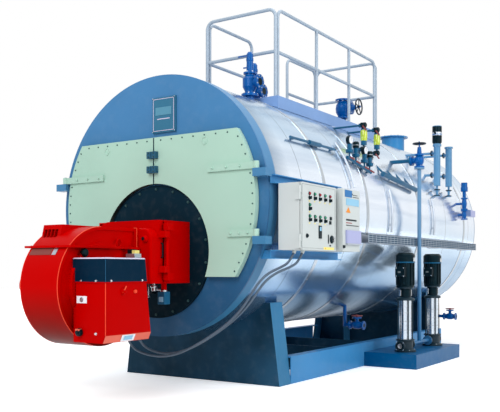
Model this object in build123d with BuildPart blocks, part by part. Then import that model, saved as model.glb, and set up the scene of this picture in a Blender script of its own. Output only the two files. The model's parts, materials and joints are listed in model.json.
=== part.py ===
"""Industrial shell boiler: three-pass fire-tube shell with its burner, controls, feed pumps and deck.

Millimetres. The boiler axis runs along Y, the burner end faces -Y and +Z is up.
The origin is on the floor, under the boiler axis, at the middle of the front saddle's foot.
"""
import os
from math import cos, radians, sin, sqrt, tan

from build123d import *

os.makedirs("parts", exist_ok=True)

# Shell and its front casing
axis_height = 1735.0
shell_radius = 1232.0
shell_wall = 22.0
casing_rise = 18.0
casing_depth = 130.0
plate_thickness = 20.0
plate_front_y = -750.0
shell_length = 5800.0
rear_plate_thickness = 20.0
seat = 0.3
strap_width = 60.0
strap_thickness = 3.0
strap_ys = (360.0, 1350.0, 2950.0, 4700.0)

# Tube plate and furnace
tube_plate_inset = 330.0
tube_plate_thickness = 20.0
tube_bore_radius = 38.0
tube_pitch = 150.0
tube_top_rise = 560.0
tube_bank_drop = 560.0
tube_bank_margin = 352.0
tube_rows_top = 2
tube_columns_top = 9
tube_rows_side = 5
furnace_height = 1294.0
furnace_plate_radius = 632.0
furnace_plate_thickness = 25.0
furnace_mouth_radius = 560.0
furnace_mouth_wall = 30.0

# Smoke-box doors
door_margin = 100.0
door_rise = 646.0
door_drop = 675.0
door_thickness = 55.0
door_gap = 5.0
door_seam = 8.0
door_furnace_gap = 14.0
lining_depth = 75.0
lining_inset = 40.0
opening_clearance = 26.0

# Door hardware
hinge_axis_margin = 80.0
hinge_axis_stand_off = 18.0
knuckle_radius = 26.0
hinge_pin_radius = 12.0
pin_clearance = 0.3
upper_strap_rise = 302.0
lower_strap_drop = 287.0
hinge_strap_height = 62.0
hinge_strap_thickness = 22.0
upper_strap_start = 640.0
lower_strap_start = 858.0
lug_height = 70.0
lug_reach = 110.0
latch_rises = (338.0, 475.0)
latch_width = 48.0
latch_height = 56.0
latch_depth = 34.0

# Name board over the doors
board_x = -50.0
board_gap = 49.0
board_width = 280.0
board_height = 335.0
board_depth = 22.0
board_rim = 18.0

# Base frame
saddle_depth = 224.0
saddle_foot_half_width = 973.0
saddle_horn_half_width = 868.0
saddle_horn_height = 803.0
saddle_plate = 16.0
rear_saddle_y = 4240.0
beam_height = 270.0
beam_width = 105.0
beam_web = 10.0
beam_flange = 14.0
rear_beam_length = 110.0
cross_member_depth = 120.0
cross_member_height = 160.0
cross_member_count = 3

# Feed pumps
pump_stand_off = 128.0
pump_ys = (2110.0, 3020.0)
shelf_height = 165.0
shelf_edge = 253.0
shelf_overhang = 300.0
shelf_plate = 12.0
shelf_post = 50.0
pump_base_radius = 125.0
pump_base_height = 145.0
pump_sleeve_radius = 70.0
pump_sleeve_height = 455.0
pump_head_height = 155.0
pump_motor_radius = 112.0
pump_motor_height = 400.0
pump_fin_count = 12
pump_port_height = 75.0
pump_port_radius = 25.0
pump_inlet_depth = 120.0
pump_drill_point = 15.0
pump_flange_radius = 58.0
pump_flange_reach = 165.0
flange_thickness = 18.0
feed_pipe_radius = 24.0
feed_flange_radius = 62.0
feed_valve_rise = 635.0
feed_outlet_rise = 92.0
feed_outlet_reach = 100.0
feed_wheel_rise = 294.0
feed_wheel_radius = 75.0
feed_spindle_radius = 9.0
feed_nozzle_depth = 54.633
header_ys = (1881.0, 2823.0)
header_drops = (731.0, 837.0)
header_stand_offs = (48.111, 44.644)
header_radius = 30.0
header_branch_places = (0.07, 0.36, 0.62, 0.87)
header_branch_radius = 11.0

# Burner
burner_half_width = 400.0
burner_floor = 1002.0
burner_top = 1565.0
mount_box_depth = 355.0
burner_gap = 5.0
body_wall = 12.0
servo_size = 75.0
servo_height = 110.0
servo_drop = 77.0
housing_inset = 20.0
housing_flange_depth = 60.0
housing_flange_round = 170.0
housing_block_depth = 105.0
housing_crown = 1490.0
housing_round = 90.0
flame_tube_radius = 210.0
flame_tube_wall = 10.0
flame_tube_reach = 420.0
scroll_radius = 500.0
scroll_centre_height = 985.0
scroll_centre_y = -1725.0
scroll_half_width = 215.0
scroll_top = 1490.0
scroll_rim = 30.0
scroll_recess = 12.0
duct_collar_rise = 30.0
duct_collar_depth = 30.0
split_height = 1320.0
split_thickness = 18.0
split_overhang = 52.0
split_front_y = -2135.0
inlet_bell_radius = 370.0
inlet_bell_rise = 37.0
sight_box_inner_x = 8.0
sight_box_foot_y = -2022.0
sight_box_brow_y = -1974.0
sight_box_top = 1499.0
sight_window_x = -112.0
sight_window_height = 1426.0
sight_slot_width = 34.0
sight_slot_height = 68.0
sight_slot_depth = 30.0
sight_slot_pitch = 42.0
sight_slot_count = 4
air_box_outer_x = 564.0
air_box_front_y = -2052.0
air_box_rear_y = -1510.0
air_box_rear_lean = 85.0
air_box_floor = 546.0
air_box_top = 1211.0
air_box_sill = 60.0
air_box_sill_depth = 28.0
air_box_lid_height = 190.0
air_box_lid_lip = 8.0
motor_flange_radius = 200.0
motor_flange_thickness = 12.0
motor_radius = 118.0
motor_length = 490.0
motor_fin_height = 14.0
motor_fin_thickness = 6.0
motor_fin_pairs = 9
motor_cowl_share = 0.7
motor_box_width = 110.0
motor_box_rise = 62.0
burner_pin_radius = 14.0

# Control cabinet and its rails
rail_height = 76.0
rail_plate = 8.0
upper_rail_height = 1918.0
lower_rail_height = 1258.0
rail_front_y = -735.0
rail_bracket_ys = (-700.0, 440.0)
rail_bracket_width = 60.0
rail_bracket_depth = 170.0
rail_rear_y = 560.0
cabinet_stand_off = 52.0
cabinet_depth = 212.0
cabinet_front_y = -675.0
cabinet_rear_y = -45.0
cabinet_floor = 1296.5
cabinet_top = 1880.0
cabinet_wall = 5.0
cabinet_door_thickness = 22.0
cabinet_door_gap = 5.0
cabinet_pin_radius = 5.0
cabinet_knuckle_radius = 9.0
cabinet_hinge_length = 60.0
cabinet_hinge_heights = (1370.0, 1790.0)
device_rows = 3
device_columns = 5
device_pitch = 100.0
device_width = 80.0
device_height = 90.0
device_depth = 68.0
device_row_pitch = 170.0
aux_front_y = 6.0
aux_rear_y = 375.0
aux_depth = 285.0

# Deck and railing
deck_half_width = 500.0
deck_front_y = 650.0
deck_rear_y = 3320.0
deck_rise = 33.0
deck_plate = 8.0
board_thickness = 12.0
rail_tube_radius = 19.0
railing_height = 948.0
mid_rail_rise = 487.0
railing_inset = 44.0
corner_bend = 90.0
post_ys = (650.0, 1600.0, 2470.0, 3320.0)

# Fittings on the shell
safety_valve_places = ((215.0, 530.0), (-30.0, 1000.0))
steam_valve_x = 300.0
steam_valve_y = 2620.0
steam_riser_radius = 38.0
steam_bore_radius = 40.0
steam_bore_depth = 180.0
steam_flange_radius = 100.0
steam_valve_rise = 340.0
steam_spindle_rise = 222.0
steam_wheel_reach = 225.0
steam_wheel_radius = 98.0
steam_spindle_radius = 12.0
flue_y = 5000.0
flue_radius = 175.0
flue_wall = 6.0
flue_flange_radius = 232.0
flue_rise = 248.0
flue_bolt_count = 12
flue_bolt_circle = 205.0
flue_bolt_radius = 7.0

# Level gauges: a glass in its guard between two cocks
gauge_drop = 177.0
gauge_stand_off = 50.842
gauge_ys = (1700.0, 2066.0)
gauge_span = 277.0
gauge_guard_radius = 34.0
gauge_cock_radius = 24.0
gauge_arm_radius = 12.0

# Pressure instruments: a manifold with a row of switches on the shell
manifold_ys = (1070.0, 1560.0)
manifold_drops = (627.0, 752.0)
manifold_stand_offs = (33.926, 34.485)
manifold_radius = 16.0
manifold_stations = (0.1, 0.36, 0.72, 0.94)
conduit_drop = 575.0
conduit_radius = 13.0
conduit_ys = (-87.0, 856.0)
conduit_joint_ys = (284.0, 515.0)

# Level chambers with their sensor head and drain valves
chamber_drop = 711.0
chamber_stand_off = 76.221
chamber_step = 30.0
chamber_ys = (3647.0, 4121.0)
chamber_length = 534.0
chamber_radius = 45.0
chamber_head_length = 250.0
chamber_head_radius = 62.0
chamber_arm_radius = 17.0
chamber_drain_length = 145.0

# Cable trays: a wire basket along the side and three conduits that follow the shell
basket_front_y = 1150.0
basket_rear_y = 4950.0
basket_floor = 1410.0
basket_height = 95.0
basket_width = 84.0
basket_wall = 3.0
basket_bracket_ys = (1450.0, 2250.0, 3350.0, 4560.0)
basket_bracket_width = 30.0
conduit_stand_off = 24.0
conduit_runs = ((1010.0, 12.0, 37.0), (1975.0, -8.0, 15.0), (3390.0, -7.0, 15.0))

# Rear control valve and the low drains
stack_y = 4490.0
stack_stand_off = 72.0
stack_floor = 1840.0
stack_ceiling = 2370.0
stack_radius = 48.0
blowdown_y = 1980.0
blowdown_x = 640.0
blowdown_drop = 43.0
drain_y = 4770.0
drain_x = 1000.0
drain_drop = 73.0
drain_pipe_radius = 22.0

# Burner leads: two flexible conduits from the mounting box to the control cabinet
lead_radius = 11.0
gland_length = 25.0
gland_radius = 17.0
burner_lead_1 = (
    (-100, -1050, 977), (-100, -1050, 880), (-122, -1044, 750), (-152, -1030, 610), (-160, -1005, 470),
    (-105, -962, 368), (30, -922, 322), (190, -900, 316), (360, -884, 352), (540, -868, 436),
    (720, -856, 540), (890, -844, 654), (1020, -828, 780), (1105, -806, 910), (1165, -775, 1020),
    (1235, -728, 1098), (1315, -668, 1142), (1378, -610, 1190), (1400, -580, 1271),
)
burner_lead_2 = (
    (-30, -1010, 977), (-30, -1010, 890), (-50, -1004, 770), (-74, -988, 640), (-76, -962, 510),
    (-30, -926, 404), (90, -890, 350), (240, -868, 342), (410, -852, 380), (590, -836, 464),
    (765, -824, 566), (930, -812, 682), (1062, -796, 806), (1146, -774, 930), (1210, -738, 1030),
    (1290, -680, 1100), (1372, -610, 1142), (1430, -545, 1190), (1448, -515, 1271),
)

shell_front_y = plate_front_y + plate_thickness + casing_depth
shell_rear_y = shell_front_y + shell_length
tube_plate_y = plate_front_y + tube_plate_inset
hinge_axis_y = plate_front_y - door_gap - door_thickness - hinge_axis_stand_off
upper_strap_height = axis_height + upper_strap_rise
lower_strap_height = axis_height - lower_strap_drop
deck_height = axis_height + shell_radius + deck_rise
top_rail_height = deck_height + railing_height
mid_rail_height = deck_height + mid_rail_rise
casing_radius = shell_radius + casing_rise
door_radius = casing_radius - door_margin
door_top = axis_height + door_rise
door_bottom = axis_height - door_drop
hinge_axis_x = casing_radius - hinge_axis_margin
pump_x = shell_radius + pump_stand_off
feed_valve_height = axis_height + feed_valve_rise
rail_bracket_inner_x = casing_radius - rail_bracket_depth
cabinet_inner_x = casing_radius + cabinet_stand_off
crown_height = axis_height + shell_radius
flue_top = crown_height + flue_rise
blowdown_height = axis_height - shell_radius - blowdown_drop
drain_height = axis_height - shell_radius - drain_drop


def front(y):
    """A sketch plane that faces the burner end; its X is X and its Y is Z."""
    return Plane.XZ.offset(-y)


def shell_side(x):
    """The height of the shell's upper surface over the place x."""
    return axis_height + sqrt(shell_radius**2 - x**2)


def shell_reach(z, radius=shell_radius):
    """How far the shell's side stands out from the axis at the height z."""
    return sqrt(radius**2 - (z - axis_height) ** 2)


def along_shell(drops, ys, stand_offs):
    """The two ends of a pipe that runs beside the shell, each with its drop below the crown."""
    return [
        (shell_reach(crown_height - drop, shell_radius + stand_off), y, crown_height - drop)
        for drop, y, stand_off in zip(drops, ys, stand_offs)
    ]


def bar(x0, x1, y0, y1, z0, z1, mode=Mode.ADD):
    with Locations(((x0 + x1) / 2, (y0 + y1) / 2, (z0 + z1) / 2)):
        Box(abs(x1 - x0), abs(y1 - y0), abs(z1 - z0), mode=mode)


def rod(start, end, radius, mode=Mode.ADD):
    line = Vector(end) - Vector(start)
    with BuildSketch(Plane(origin=start, z_dir=line)) as section:
        Circle(radius)
    extrude(section.sketch, amount=line.length, mode=mode)


def turned(origin, direction, profile, mode=Mode.ADD):
    """Revolves (radius, height) pairs about a line that leaves origin along direction."""
    along = Vector(direction).normalized()
    radial = Vector(1, 0, 0) if abs(along.X) < 0.5 else Vector(0, 1, 0)
    with BuildSketch(Plane(origin=origin, x_dir=radial, z_dir=radial.cross(along))) as section:
        with BuildLine():
            Polyline(*profile, close=True)
        make_face()
    revolve(section.sketch, axis=Axis(origin, tuple(along)), mode=mode)


def barrel(y0, y1, outer, inner=0.0, height=axis_height):
    """A round body or ring about a line along Y."""
    with BuildSketch(front(y1)) as section:
        with Locations((0, height)):
            Circle(outer)
            if inner:
                Circle(inner, mode=Mode.SUBTRACT)
    extrude(section.sketch, amount=y1 - y0)


def handwheel(hub, direction, radius, rim):
    """A rim, a hub and five spokes about a spindle end."""
    along = Vector(direction).normalized()
    radial = Vector(1, 0, 0) if abs(along.X) < 0.5 else Vector(0, 1, 0)
    third = along.cross(radial)
    with BuildPart() as wheel:
        with BuildSketch(Plane(origin=hub, x_dir=radial, z_dir=radial.cross(along))):
            with Locations((radius, 0)):
                Circle(rim)
        revolve(axis=Axis(hub, tuple(along)))
        turned(Vector(hub) - along * 1.4 * rim, along, [(0, 0), (2 * rim, 0), (2 * rim, 2.8 * rim), (0, 2.8 * rim)])
        for step in range(5):
            turn = radians(72 * step + 18)
            spoke = radial * ((radius - rim / 3) * cos(turn)) + third * ((radius - rim / 3) * sin(turn))
            rod(hub, Vector(hub) + spoke, 0.7 * rim)
    return wheel.part


def cut_by_shell(y0, y1, radius=shell_radius):
    """Trims the open part to the shell's outside, with the seat's clearance."""
    with BuildSketch(front(y1)) as section:
        with Locations((0, axis_height)):
            Circle(radius + seat)
    extrude(section.sketch, amount=y1 - y0, mode=Mode.SUBTRACT)


def save(name, part):
    part.label = name
    export_step(part, f"parts/{name}.step")


# Saddles that cradle the shell
def saddle(y, open_side):
    """A plated saddle: a web, a rim all round and two ribs, open towards open_side."""
    with BuildPart() as body:
        with BuildSketch(front(y + saddle_depth / 2)):
            with BuildLine():
                Polyline(
                    (-saddle_foot_half_width, 0),
                    (saddle_foot_half_width, 0),
                    (saddle_horn_half_width, saddle_horn_height),
                    (-saddle_horn_half_width, saddle_horn_height),
                    close=True,
                )
            make_face()
            with Locations((0, axis_height)):
                Circle(shell_radius + seat, mode=Mode.SUBTRACT)
        extrude(amount=saddle_depth)
        pocket_y = y + saddle_depth / 2 + (0 if open_side > 0 else -saddle_plate)
        with BuildSketch(front(pocket_y)):
            with BuildLine():
                slope = (saddle_foot_half_width - saddle_horn_half_width) / saddle_horn_height
                low = saddle_plate
                high = saddle_horn_height - saddle_plate
                Polyline(
                    (-saddle_foot_half_width + slope * low + saddle_plate, low),
                    (saddle_foot_half_width - slope * low - saddle_plate, low),
                    (saddle_foot_half_width - slope * high - saddle_plate, high),
                    (-saddle_foot_half_width + slope * high + saddle_plate, high),
                    close=True,
                )
            make_face()
            with Locations((0, axis_height)):
                Circle(shell_radius + seat + saddle_plate, mode=Mode.SUBTRACT)
        extrude(amount=saddle_depth - saddle_plate, mode=Mode.SUBTRACT)
        rib_y0 = pocket_y - saddle_depth + saddle_plate
        for side in (-1, 1):
            rib_x = side * 0.45 * saddle_foot_half_width
            rib_inner = abs(rib_x) - saddle_plate / 2
            rib_top = axis_height - sqrt((shell_radius + seat) ** 2 - rib_inner**2) - seat
            bar(rib_x - saddle_plate / 2, rib_x + saddle_plate / 2, rib_y0, pocket_y, saddle_plate / 2, rib_top)
    return body.part


save("front_saddle", saddle(0.0, 1))
save("rear_saddle", saddle(rear_saddle_y, -1))

# Skid beams: channels on edge between the saddles, with short ends behind the rear one
beam_y0 = saddle_depth / 2
beam_outer = saddle_foot_half_width
rear_saddle_front = rear_saddle_y - saddle_depth / 2
rear_saddle_back = rear_saddle_y + saddle_depth / 2


def beam(side):
    outer = side * beam_outer
    inner = side * (beam_outer - beam_width)
    with BuildPart() as channel:
        for y0, y1 in ((beam_y0, rear_saddle_front), (rear_saddle_back, rear_saddle_back + rear_beam_length)):
            bar(outer, outer - side * beam_web, y0, y1, 0, beam_height)
            bar(outer, inner, y0, y1, 0, beam_flange)
            bar(outer, inner, y0, y1, beam_height - beam_flange, beam_height)
    return channel.part


save("left_skid_beam", beam(-1))
save("right_skid_beam", beam(1))

with BuildPart() as cross_members:
    spacing = (rear_saddle_front - beam_y0) / (cross_member_count + 1)
    reach = beam_outer - beam_width
    for step in range(cross_member_count):
        middle = beam_y0 + spacing * (step + 1)
        bar(-reach, reach, middle - cross_member_depth / 2, middle + cross_member_depth / 2, 0, beam_flange)
        bar(-reach, reach, middle - beam_web / 2, middle + beam_web / 2, 0, cross_member_height)
save("cross_members", cross_members.part)

# Shell: an insulated tube between the front casing and the rear plate
with BuildPart() as shell:
    barrel(shell_front_y, shell_rear_y, shell_radius, shell_radius - shell_wall)
    rod((0, flue_y, axis_height), (0, flue_y, flue_top), flue_radius - flue_wall, Mode.SUBTRACT)
save("shell", shell.part)

with BuildPart() as cladding_straps:
    inner = shell_radius + seat
    for middle in strap_ys:
        barrel(middle - strap_width / 2, middle + strap_width / 2, inner + strap_thickness, inner)
save("cladding_straps", cladding_straps.part)

with BuildPart() as rear_plate:
    barrel(shell_rear_y, shell_rear_y + rear_plate_thickness, shell_radius)
save("rear_plate", rear_plate.part)

rear_door_radius = 320.0
with BuildPart() as rear_door:
    back = (0, shell_rear_y + rear_plate_thickness, furnace_height)
    turned(back, (0, 1, 0), [(0, 0), (rear_door_radius, 0), (rear_door_radius, 30), (0.8 * rear_door_radius, 55), (0, 55)])
    for step in range(12):
        turn = radians(30 * step)
        place = (0.9 * rear_door_radius * cos(turn), back[1] + 20, back[2] + 0.9 * rear_door_radius * sin(turn))
        rod(place, (place[0], place[1] + 32, place[2]), 13)
save("rear_furnace_door", rear_door.part)

with BuildPart() as front_casing:
    barrel(plate_front_y + plate_thickness, shell_front_y, casing_radius, shell_radius - shell_wall)
save("front_casing", front_casing.part)


# Front plate with the smoke-box opening behind the doors
def door_outline(inset, seam):
    """The right-hand door's outline in the open sketch, drawn in by inset."""
    with Locations((0, axis_height)):
        Circle(door_radius - inset)
    width = 2 * door_radius
    middle = (door_top + door_bottom) / 2
    with Locations((seam + width / 2, middle)):
        Rectangle(width, door_top - door_bottom - 2 * inset, mode=Mode.INTERSECT)
    with Locations((0, furnace_height)):
        Circle(furnace_plate_radius + door_furnace_gap + inset, mode=Mode.SUBTRACT)


opening_inset = lining_inset - opening_clearance
with BuildPart() as front_plate:
    barrel(plate_front_y, plate_front_y + plate_thickness, casing_radius)
    with BuildSketch(front(plate_front_y + plate_thickness)):
        with Locations((0, axis_height)):
            Circle(door_radius - opening_inset)
        with Locations((0, (door_top + door_bottom) / 2)):
            Rectangle(2 * door_radius, door_top - door_bottom - 2 * opening_inset, mode=Mode.INTERSECT)
        with Locations((0, furnace_height)):
            Circle(furnace_plate_radius + door_furnace_gap + opening_inset, mode=Mode.SUBTRACT)
    extrude(amount=plate_thickness, mode=Mode.SUBTRACT)
    with BuildSketch(front(plate_front_y + plate_thickness)):
        with Locations((0, furnace_height)):
            Circle(furnace_mouth_radius - furnace_mouth_wall)
    extrude(amount=plate_thickness, mode=Mode.SUBTRACT)
save("front_plate", front_plate.part)

with BuildPart() as furnace_mouth:
    barrel(
        plate_front_y + plate_thickness,
        tube_plate_y,
        furnace_mouth_radius,
        furnace_mouth_radius - furnace_mouth_wall,
        furnace_height,
    )
save("furnace_mouth", furnace_mouth.part)


# Tube plate: fire tubes over the furnace and in two banks beside it
def tube_places():
    places = []
    top = axis_height + tube_top_rise
    for row in range(tube_rows_top):
        for column in range(tube_columns_top):
            places.append(((column - (tube_columns_top - 1) / 2) * tube_pitch, top - row * tube_pitch))
    bank_x = shell_radius - tube_bank_margin
    bottom = axis_height - tube_bank_drop
    for row in range(tube_rows_side):
        for side in (-1, 1):
            for column in range(2):
                places.append((side * (bank_x + (column - 0.5) * tube_pitch), bottom + row * tube_pitch))
    return places


with BuildPart() as tube_plate:
    barrel(tube_plate_y, tube_plate_y + tube_plate_thickness, shell_radius - shell_wall - seat)
    with BuildSketch(front(tube_plate_y + tube_plate_thickness)):
        with Locations(*tube_places()):
            Circle(tube_bore_radius)
        with Locations((0, furnace_height)):
            Circle(furnace_mouth_radius - furnace_mouth_wall)
    extrude(amount=tube_plate_thickness, mode=Mode.SUBTRACT)
save("tube_plate", tube_plate.part)

# Furnace plate that carries the burner
furnace_front_y = plate_front_y - furnace_plate_thickness
with BuildPart() as furnace_plate:
    barrel(furnace_front_y, plate_front_y, furnace_plate_radius, flame_tube_radius + 2, furnace_height)
save("furnace_plate", furnace_plate.part)

# Smoke-box doors with their hardware
door_back_y = plate_front_y - door_gap
door_front_y = door_back_y - door_thickness
strap_front_y = door_front_y - hinge_strap_thickness


def door(side):
    with BuildPart() as slab:
        with BuildSketch(front(door_back_y)):
            door_outline(0, door_seam / 2)
        extrude(amount=door_thickness)
        with BuildSketch(front(door_back_y + lining_depth)):
            door_outline(lining_inset, door_seam / 2 + 12)
        extrude(amount=lining_depth)
        if side < 0:
            mirror(about=Plane.YZ, mode=Mode.REPLACE)
    return slab.part


def door_fittings(side):
    """The hinge straps with their knuckles, and this door's halves of the latches."""
    with BuildPart() as fittings:
        for height, start in ((upper_strap_height, upper_strap_start), (lower_strap_height, lower_strap_start)):
            low = height - hinge_strap_height / 2
            high = height + hinge_strap_height / 2
            bar(start, hinge_axis_x, strap_front_y, door_front_y, low, high)
            rod((hinge_axis_x, hinge_axis_y, low), (hinge_axis_x, hinge_axis_y, high), knuckle_radius)
            rod(
                (hinge_axis_x, hinge_axis_y, low),
                (hinge_axis_x, hinge_axis_y, high),
                hinge_pin_radius + pin_clearance,
                Mode.SUBTRACT,
            )
        for height in (axis_height + rise for rise in latch_rises):
            low = height - latch_height / 2
            high = height + latch_height / 2
            bar(door_seam / 2, door_seam / 2 + latch_width, door_front_y - latch_depth, door_front_y, low, high)
        if side < 0:
            mirror(about=Plane.YZ, mode=Mode.REPLACE)
    return fittings.part


for name, side in (("left", -1), ("right", 1)):
    save(f"{name}_door", door(side))
    save(f"{name}_door_straps", door_fittings(side))

# Hinge lugs on the casing, with the pins that the doors turn on
with BuildPart() as hinge_lugs:
    for height in (upper_strap_height, lower_strap_height):
        top = height - hinge_strap_height / 2 - 1
        for side in (-1, 1):
            x_in = side * (hinge_axis_x - knuckle_radius)
            x_out = side * (hinge_axis_x + lug_reach)
            bar(x_in, x_out, hinge_axis_y - 24, plate_front_y, top - lug_height, top)
            rod((side * hinge_axis_x, hinge_axis_y, top - 10), (side * hinge_axis_x, hinge_axis_y, top + 68), hinge_pin_radius)
save("hinge_lugs", hinge_lugs.part)

# Name board: bare shallow case
with BuildPart() as name_board:
    board_floor = door_top + board_gap
    board_front_y = plate_front_y - board_depth
    bar(board_x, board_x + board_width, board_front_y, plate_front_y, board_floor, board_floor + board_height)
    bar(
        board_x + board_rim,
        board_x + board_width - board_rim,
        board_front_y - board_rim / 4,
        board_front_y,
        board_floor + board_rim,
        board_floor + board_height - board_rim,
    )
save("name_board", name_board.part)

# Burner: the fixed mounting box on the furnace plate
mount_front_y = furnace_front_y - mount_box_depth
with BuildPart() as burner_mount:
    bar(-burner_half_width, burner_half_width, mount_front_y, furnace_front_y, burner_floor, burner_top)
    bar(
        -burner_half_width + body_wall,
        burner_half_width - body_wall,
        mount_front_y,
        furnace_front_y - body_wall,
        burner_floor + body_wall,
        burner_top - body_wall,
        Mode.SUBTRACT,
    )
    rod((0, furnace_front_y - 30, furnace_height), (0, furnace_front_y, furnace_height), flame_tube_radius + 1, Mode.SUBTRACT)
    for x, y, z in (burner_lead_1[0], burner_lead_2[0]):
        rod((x, y, burner_floor - gland_length), (x, y, burner_floor + body_wall / 2), gland_radius)
    servo_x = burner_half_width - servo_size
    servo_y = mount_front_y + servo_size
    servo_top = burner_floor - servo_drop
    rod((servo_x, servo_y, servo_top - 1), (servo_x, servo_y, burner_floor + body_wall / 2), servo_size / 3)
    reach = servo_size / 2
    bar(servo_x - reach, servo_x + reach, servo_y - reach, servo_y + reach, servo_top - servo_height, servo_top)
save("burner_mount", burner_mount.part)

with BuildPart() as flame_tube:
    barrel(mount_front_y + 60, mount_front_y + mount_box_depth + flame_tube_reach, flame_tube_radius, flame_tube_radius - flame_tube_wall, furnace_height)
save("flame_tube", flame_tube.part)

# Burner: the housing that swings with the fan, a tall hinged flange and a rounded block before it
housing_half_width = burner_half_width - housing_inset
housing_rear_y = mount_front_y - burner_gap
housing_step_y = housing_rear_y - housing_flange_depth
housing_front_y = housing_step_y - housing_block_depth
with BuildPart() as burner_housing:
    bar(-housing_half_width, housing_half_width, housing_step_y, housing_rear_y, burner_floor, burner_top)
    upper_corners = burner_housing.edges().filter_by(Axis.Y).group_by(Axis.Z)[-1].sort_by(Axis.X)
    fillet(upper_corners[0], housing_flange_round)
    with BuildPart() as housing_block:
        bar(-housing_half_width, housing_half_width, housing_front_y, housing_step_y, burner_floor, housing_crown)
        fillet(housing_block.edges().filter_by(Axis.Y).group_by(Axis.Z)[-1], housing_round)
        front_edge = housing_block.faces().sort_by(Axis.Y)[0].edges().filter_by(Axis.X).sort_by(Axis.Z)[-1]
        fillet(front_edge, housing_inset)
save("burner_housing", burner_housing.part)


def fan_profile(plane, inset, rear_y):
    """The fan's side outline, a drum with its outlet duct, drawn inset from the outer one."""
    with BuildSketch(plane) as outline:
        with Locations((scroll_centre_y, scroll_centre_height)):
            Circle(scroll_radius - inset)
        crown = scroll_top - inset
        with Locations(((scroll_centre_y + rear_y) / 2, (burner_floor + crown) / 2)):
            Rectangle(rear_y - scroll_centre_y, crown - burner_floor)
    return outline.sketch


# Fan: a drum with rolled rims, recessed side plates, a split flange, a sight box and the inlet bell
with BuildPart() as burner_scroll:
    half = scroll_half_width
    extrude(fan_profile(Plane.YZ.offset(-half), 0, housing_front_y), amount=2 * half)
    for side_x, inward in ((-half, 1), (half, -1)):
        recess = fan_profile(Plane.YZ.offset(side_x), scroll_rim, housing_front_y - duct_collar_depth)
        extrude(recess, amount=inward * scroll_recess, mode=Mode.SUBTRACT)
    collar_x = half + duct_collar_rise
    collar_front_y = housing_front_y - duct_collar_depth
    bar(-collar_x, collar_x, collar_front_y, housing_front_y, burner_floor, scroll_top)
    split_x = half + split_overhang
    bar(-split_x, split_x, split_front_y, housing_front_y, split_height - split_thickness, split_height)
    with BuildSketch(Plane.YZ.offset(-half)) as sight_box:
        with BuildLine():
            Polyline(
                (sight_box_foot_y, split_height - split_thickness),
                (sight_box_brow_y, sight_box_top),
                (housing_front_y, sight_box_top),
                (housing_front_y, split_height - split_thickness),
                close=True,
            )
        make_face()
    extrude(sight_box.sketch, amount=half + sight_box_inner_x)
    for step in range(sight_slot_count):
        slot_x = sight_window_x + (step - (sight_slot_count - 1) / 2) * sight_slot_pitch
        bar(
            slot_x - sight_slot_width / 2,
            slot_x + sight_slot_width / 2,
            split_front_y,
            sight_box_brow_y + sight_slot_depth,
            sight_window_height - sight_slot_height / 2,
            sight_window_height + sight_slot_height / 2,
            Mode.SUBTRACT,
        )
    plate_x = half - scroll_recess
    rod((plate_x, scroll_centre_y, scroll_centre_height), (plate_x + inlet_bell_rise, scroll_centre_y, scroll_centre_height), inlet_bell_radius)
    lip = air_box_lid_lip
    bar(half, air_box_outer_x, air_box_front_y - lip, air_box_rear_y, air_box_floor, air_box_top + lip, Mode.SUBTRACT)
    scroll_rear_y = scroll_centre_y + scroll_radius
    bar(-collar_x, collar_x, housing_front_y, scroll_rear_y, burner_floor - seat, burner_top, Mode.SUBTRACT)
save("burner_scroll", burner_scroll.part)


def air_box_rear(z):
    """The air box's rear face leans forward towards its top."""
    return air_box_rear_y - air_box_rear_lean * (z - air_box_floor) / (air_box_top - air_box_floor)


def air_box_block(lip, low, high):
    """A length of the air box between two heights, grown outwards by lip."""
    with BuildSketch(Plane.YZ.offset(scroll_half_width)) as section:
        with BuildLine():
            Polyline(
                (air_box_front_y - lip, low),
                (air_box_front_y - lip, high),
                (air_box_rear(high) + lip, high),
                (air_box_rear(low) + lip, low),
                close=True,
            )
        make_face()
    extrude(section.sketch, amount=air_box_outer_x - scroll_half_width + lip)


# Air box on the fan's inlet: a leaning box with a slanted sill and a lid that laps over it
with BuildPart() as air_box:
    air_box_block(0, air_box_floor, air_box_top)
    sill = air_box.edges().filter_by(Axis.Y).group_by(Axis.Z)[0].sort_by(Axis.X)[-1]
    side_face = air_box.faces().sort_by(Axis.X)[-1]
    chamfer(sill, air_box_sill, air_box_sill_depth, reference=side_face)
    air_box_block(air_box_lid_lip, air_box_top - air_box_lid_height, air_box_top + air_box_lid_lip)
    brow = air_box.faces().sort_by(Axis.Z)[-1].edges().sort_by(Axis.X)[1:]
    chamfer(brow, air_box_lid_lip)
save("burner_air_box", air_box.part)

# Fan motor: a flange, ribs, a fan cowl and a terminal box on top
with BuildPart() as burner_motor:
    motor_face_x = scroll_recess - scroll_half_width
    core = motor_radius - motor_fin_height
    cowl_start = motor_cowl_share * motor_length
    turned(
        (motor_face_x, scroll_centre_y, scroll_centre_height),
        (-1, 0, 0),
        [
            (0, 0),
            (motor_flange_radius, 0),
            (motor_flange_radius, motor_flange_thickness),
            (motor_radius, motor_flange_thickness),
            (motor_radius, 3 * motor_flange_thickness),
            (core, 3 * motor_flange_thickness),
            (core, cowl_start),
            (motor_radius, cowl_start),
            (motor_radius, motor_length - motor_fin_height),
            (core, motor_length),
            (0, motor_length),
        ],
    )
    with BuildSketch(Plane.YZ.offset(motor_face_x - cowl_start)) as ribs:
        with Locations((scroll_centre_y, scroll_centre_height)):
            with PolarLocations(0, motor_fin_pairs):
                Rectangle(2 * (motor_radius - motor_fin_thickness), motor_fin_thickness)
    extrude(ribs.sketch, amount=cowl_start - 2 * motor_flange_thickness)
    box_middle = motor_face_x - cowl_start / 2
    bar(
        box_middle - motor_box_width / 2,
        box_middle + motor_box_width / 2,
        scroll_centre_y - motor_box_width / 2,
        scroll_centre_y + motor_box_width / 2,
        scroll_centre_height,
        scroll_centre_height + motor_radius + motor_box_rise,
    )
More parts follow.
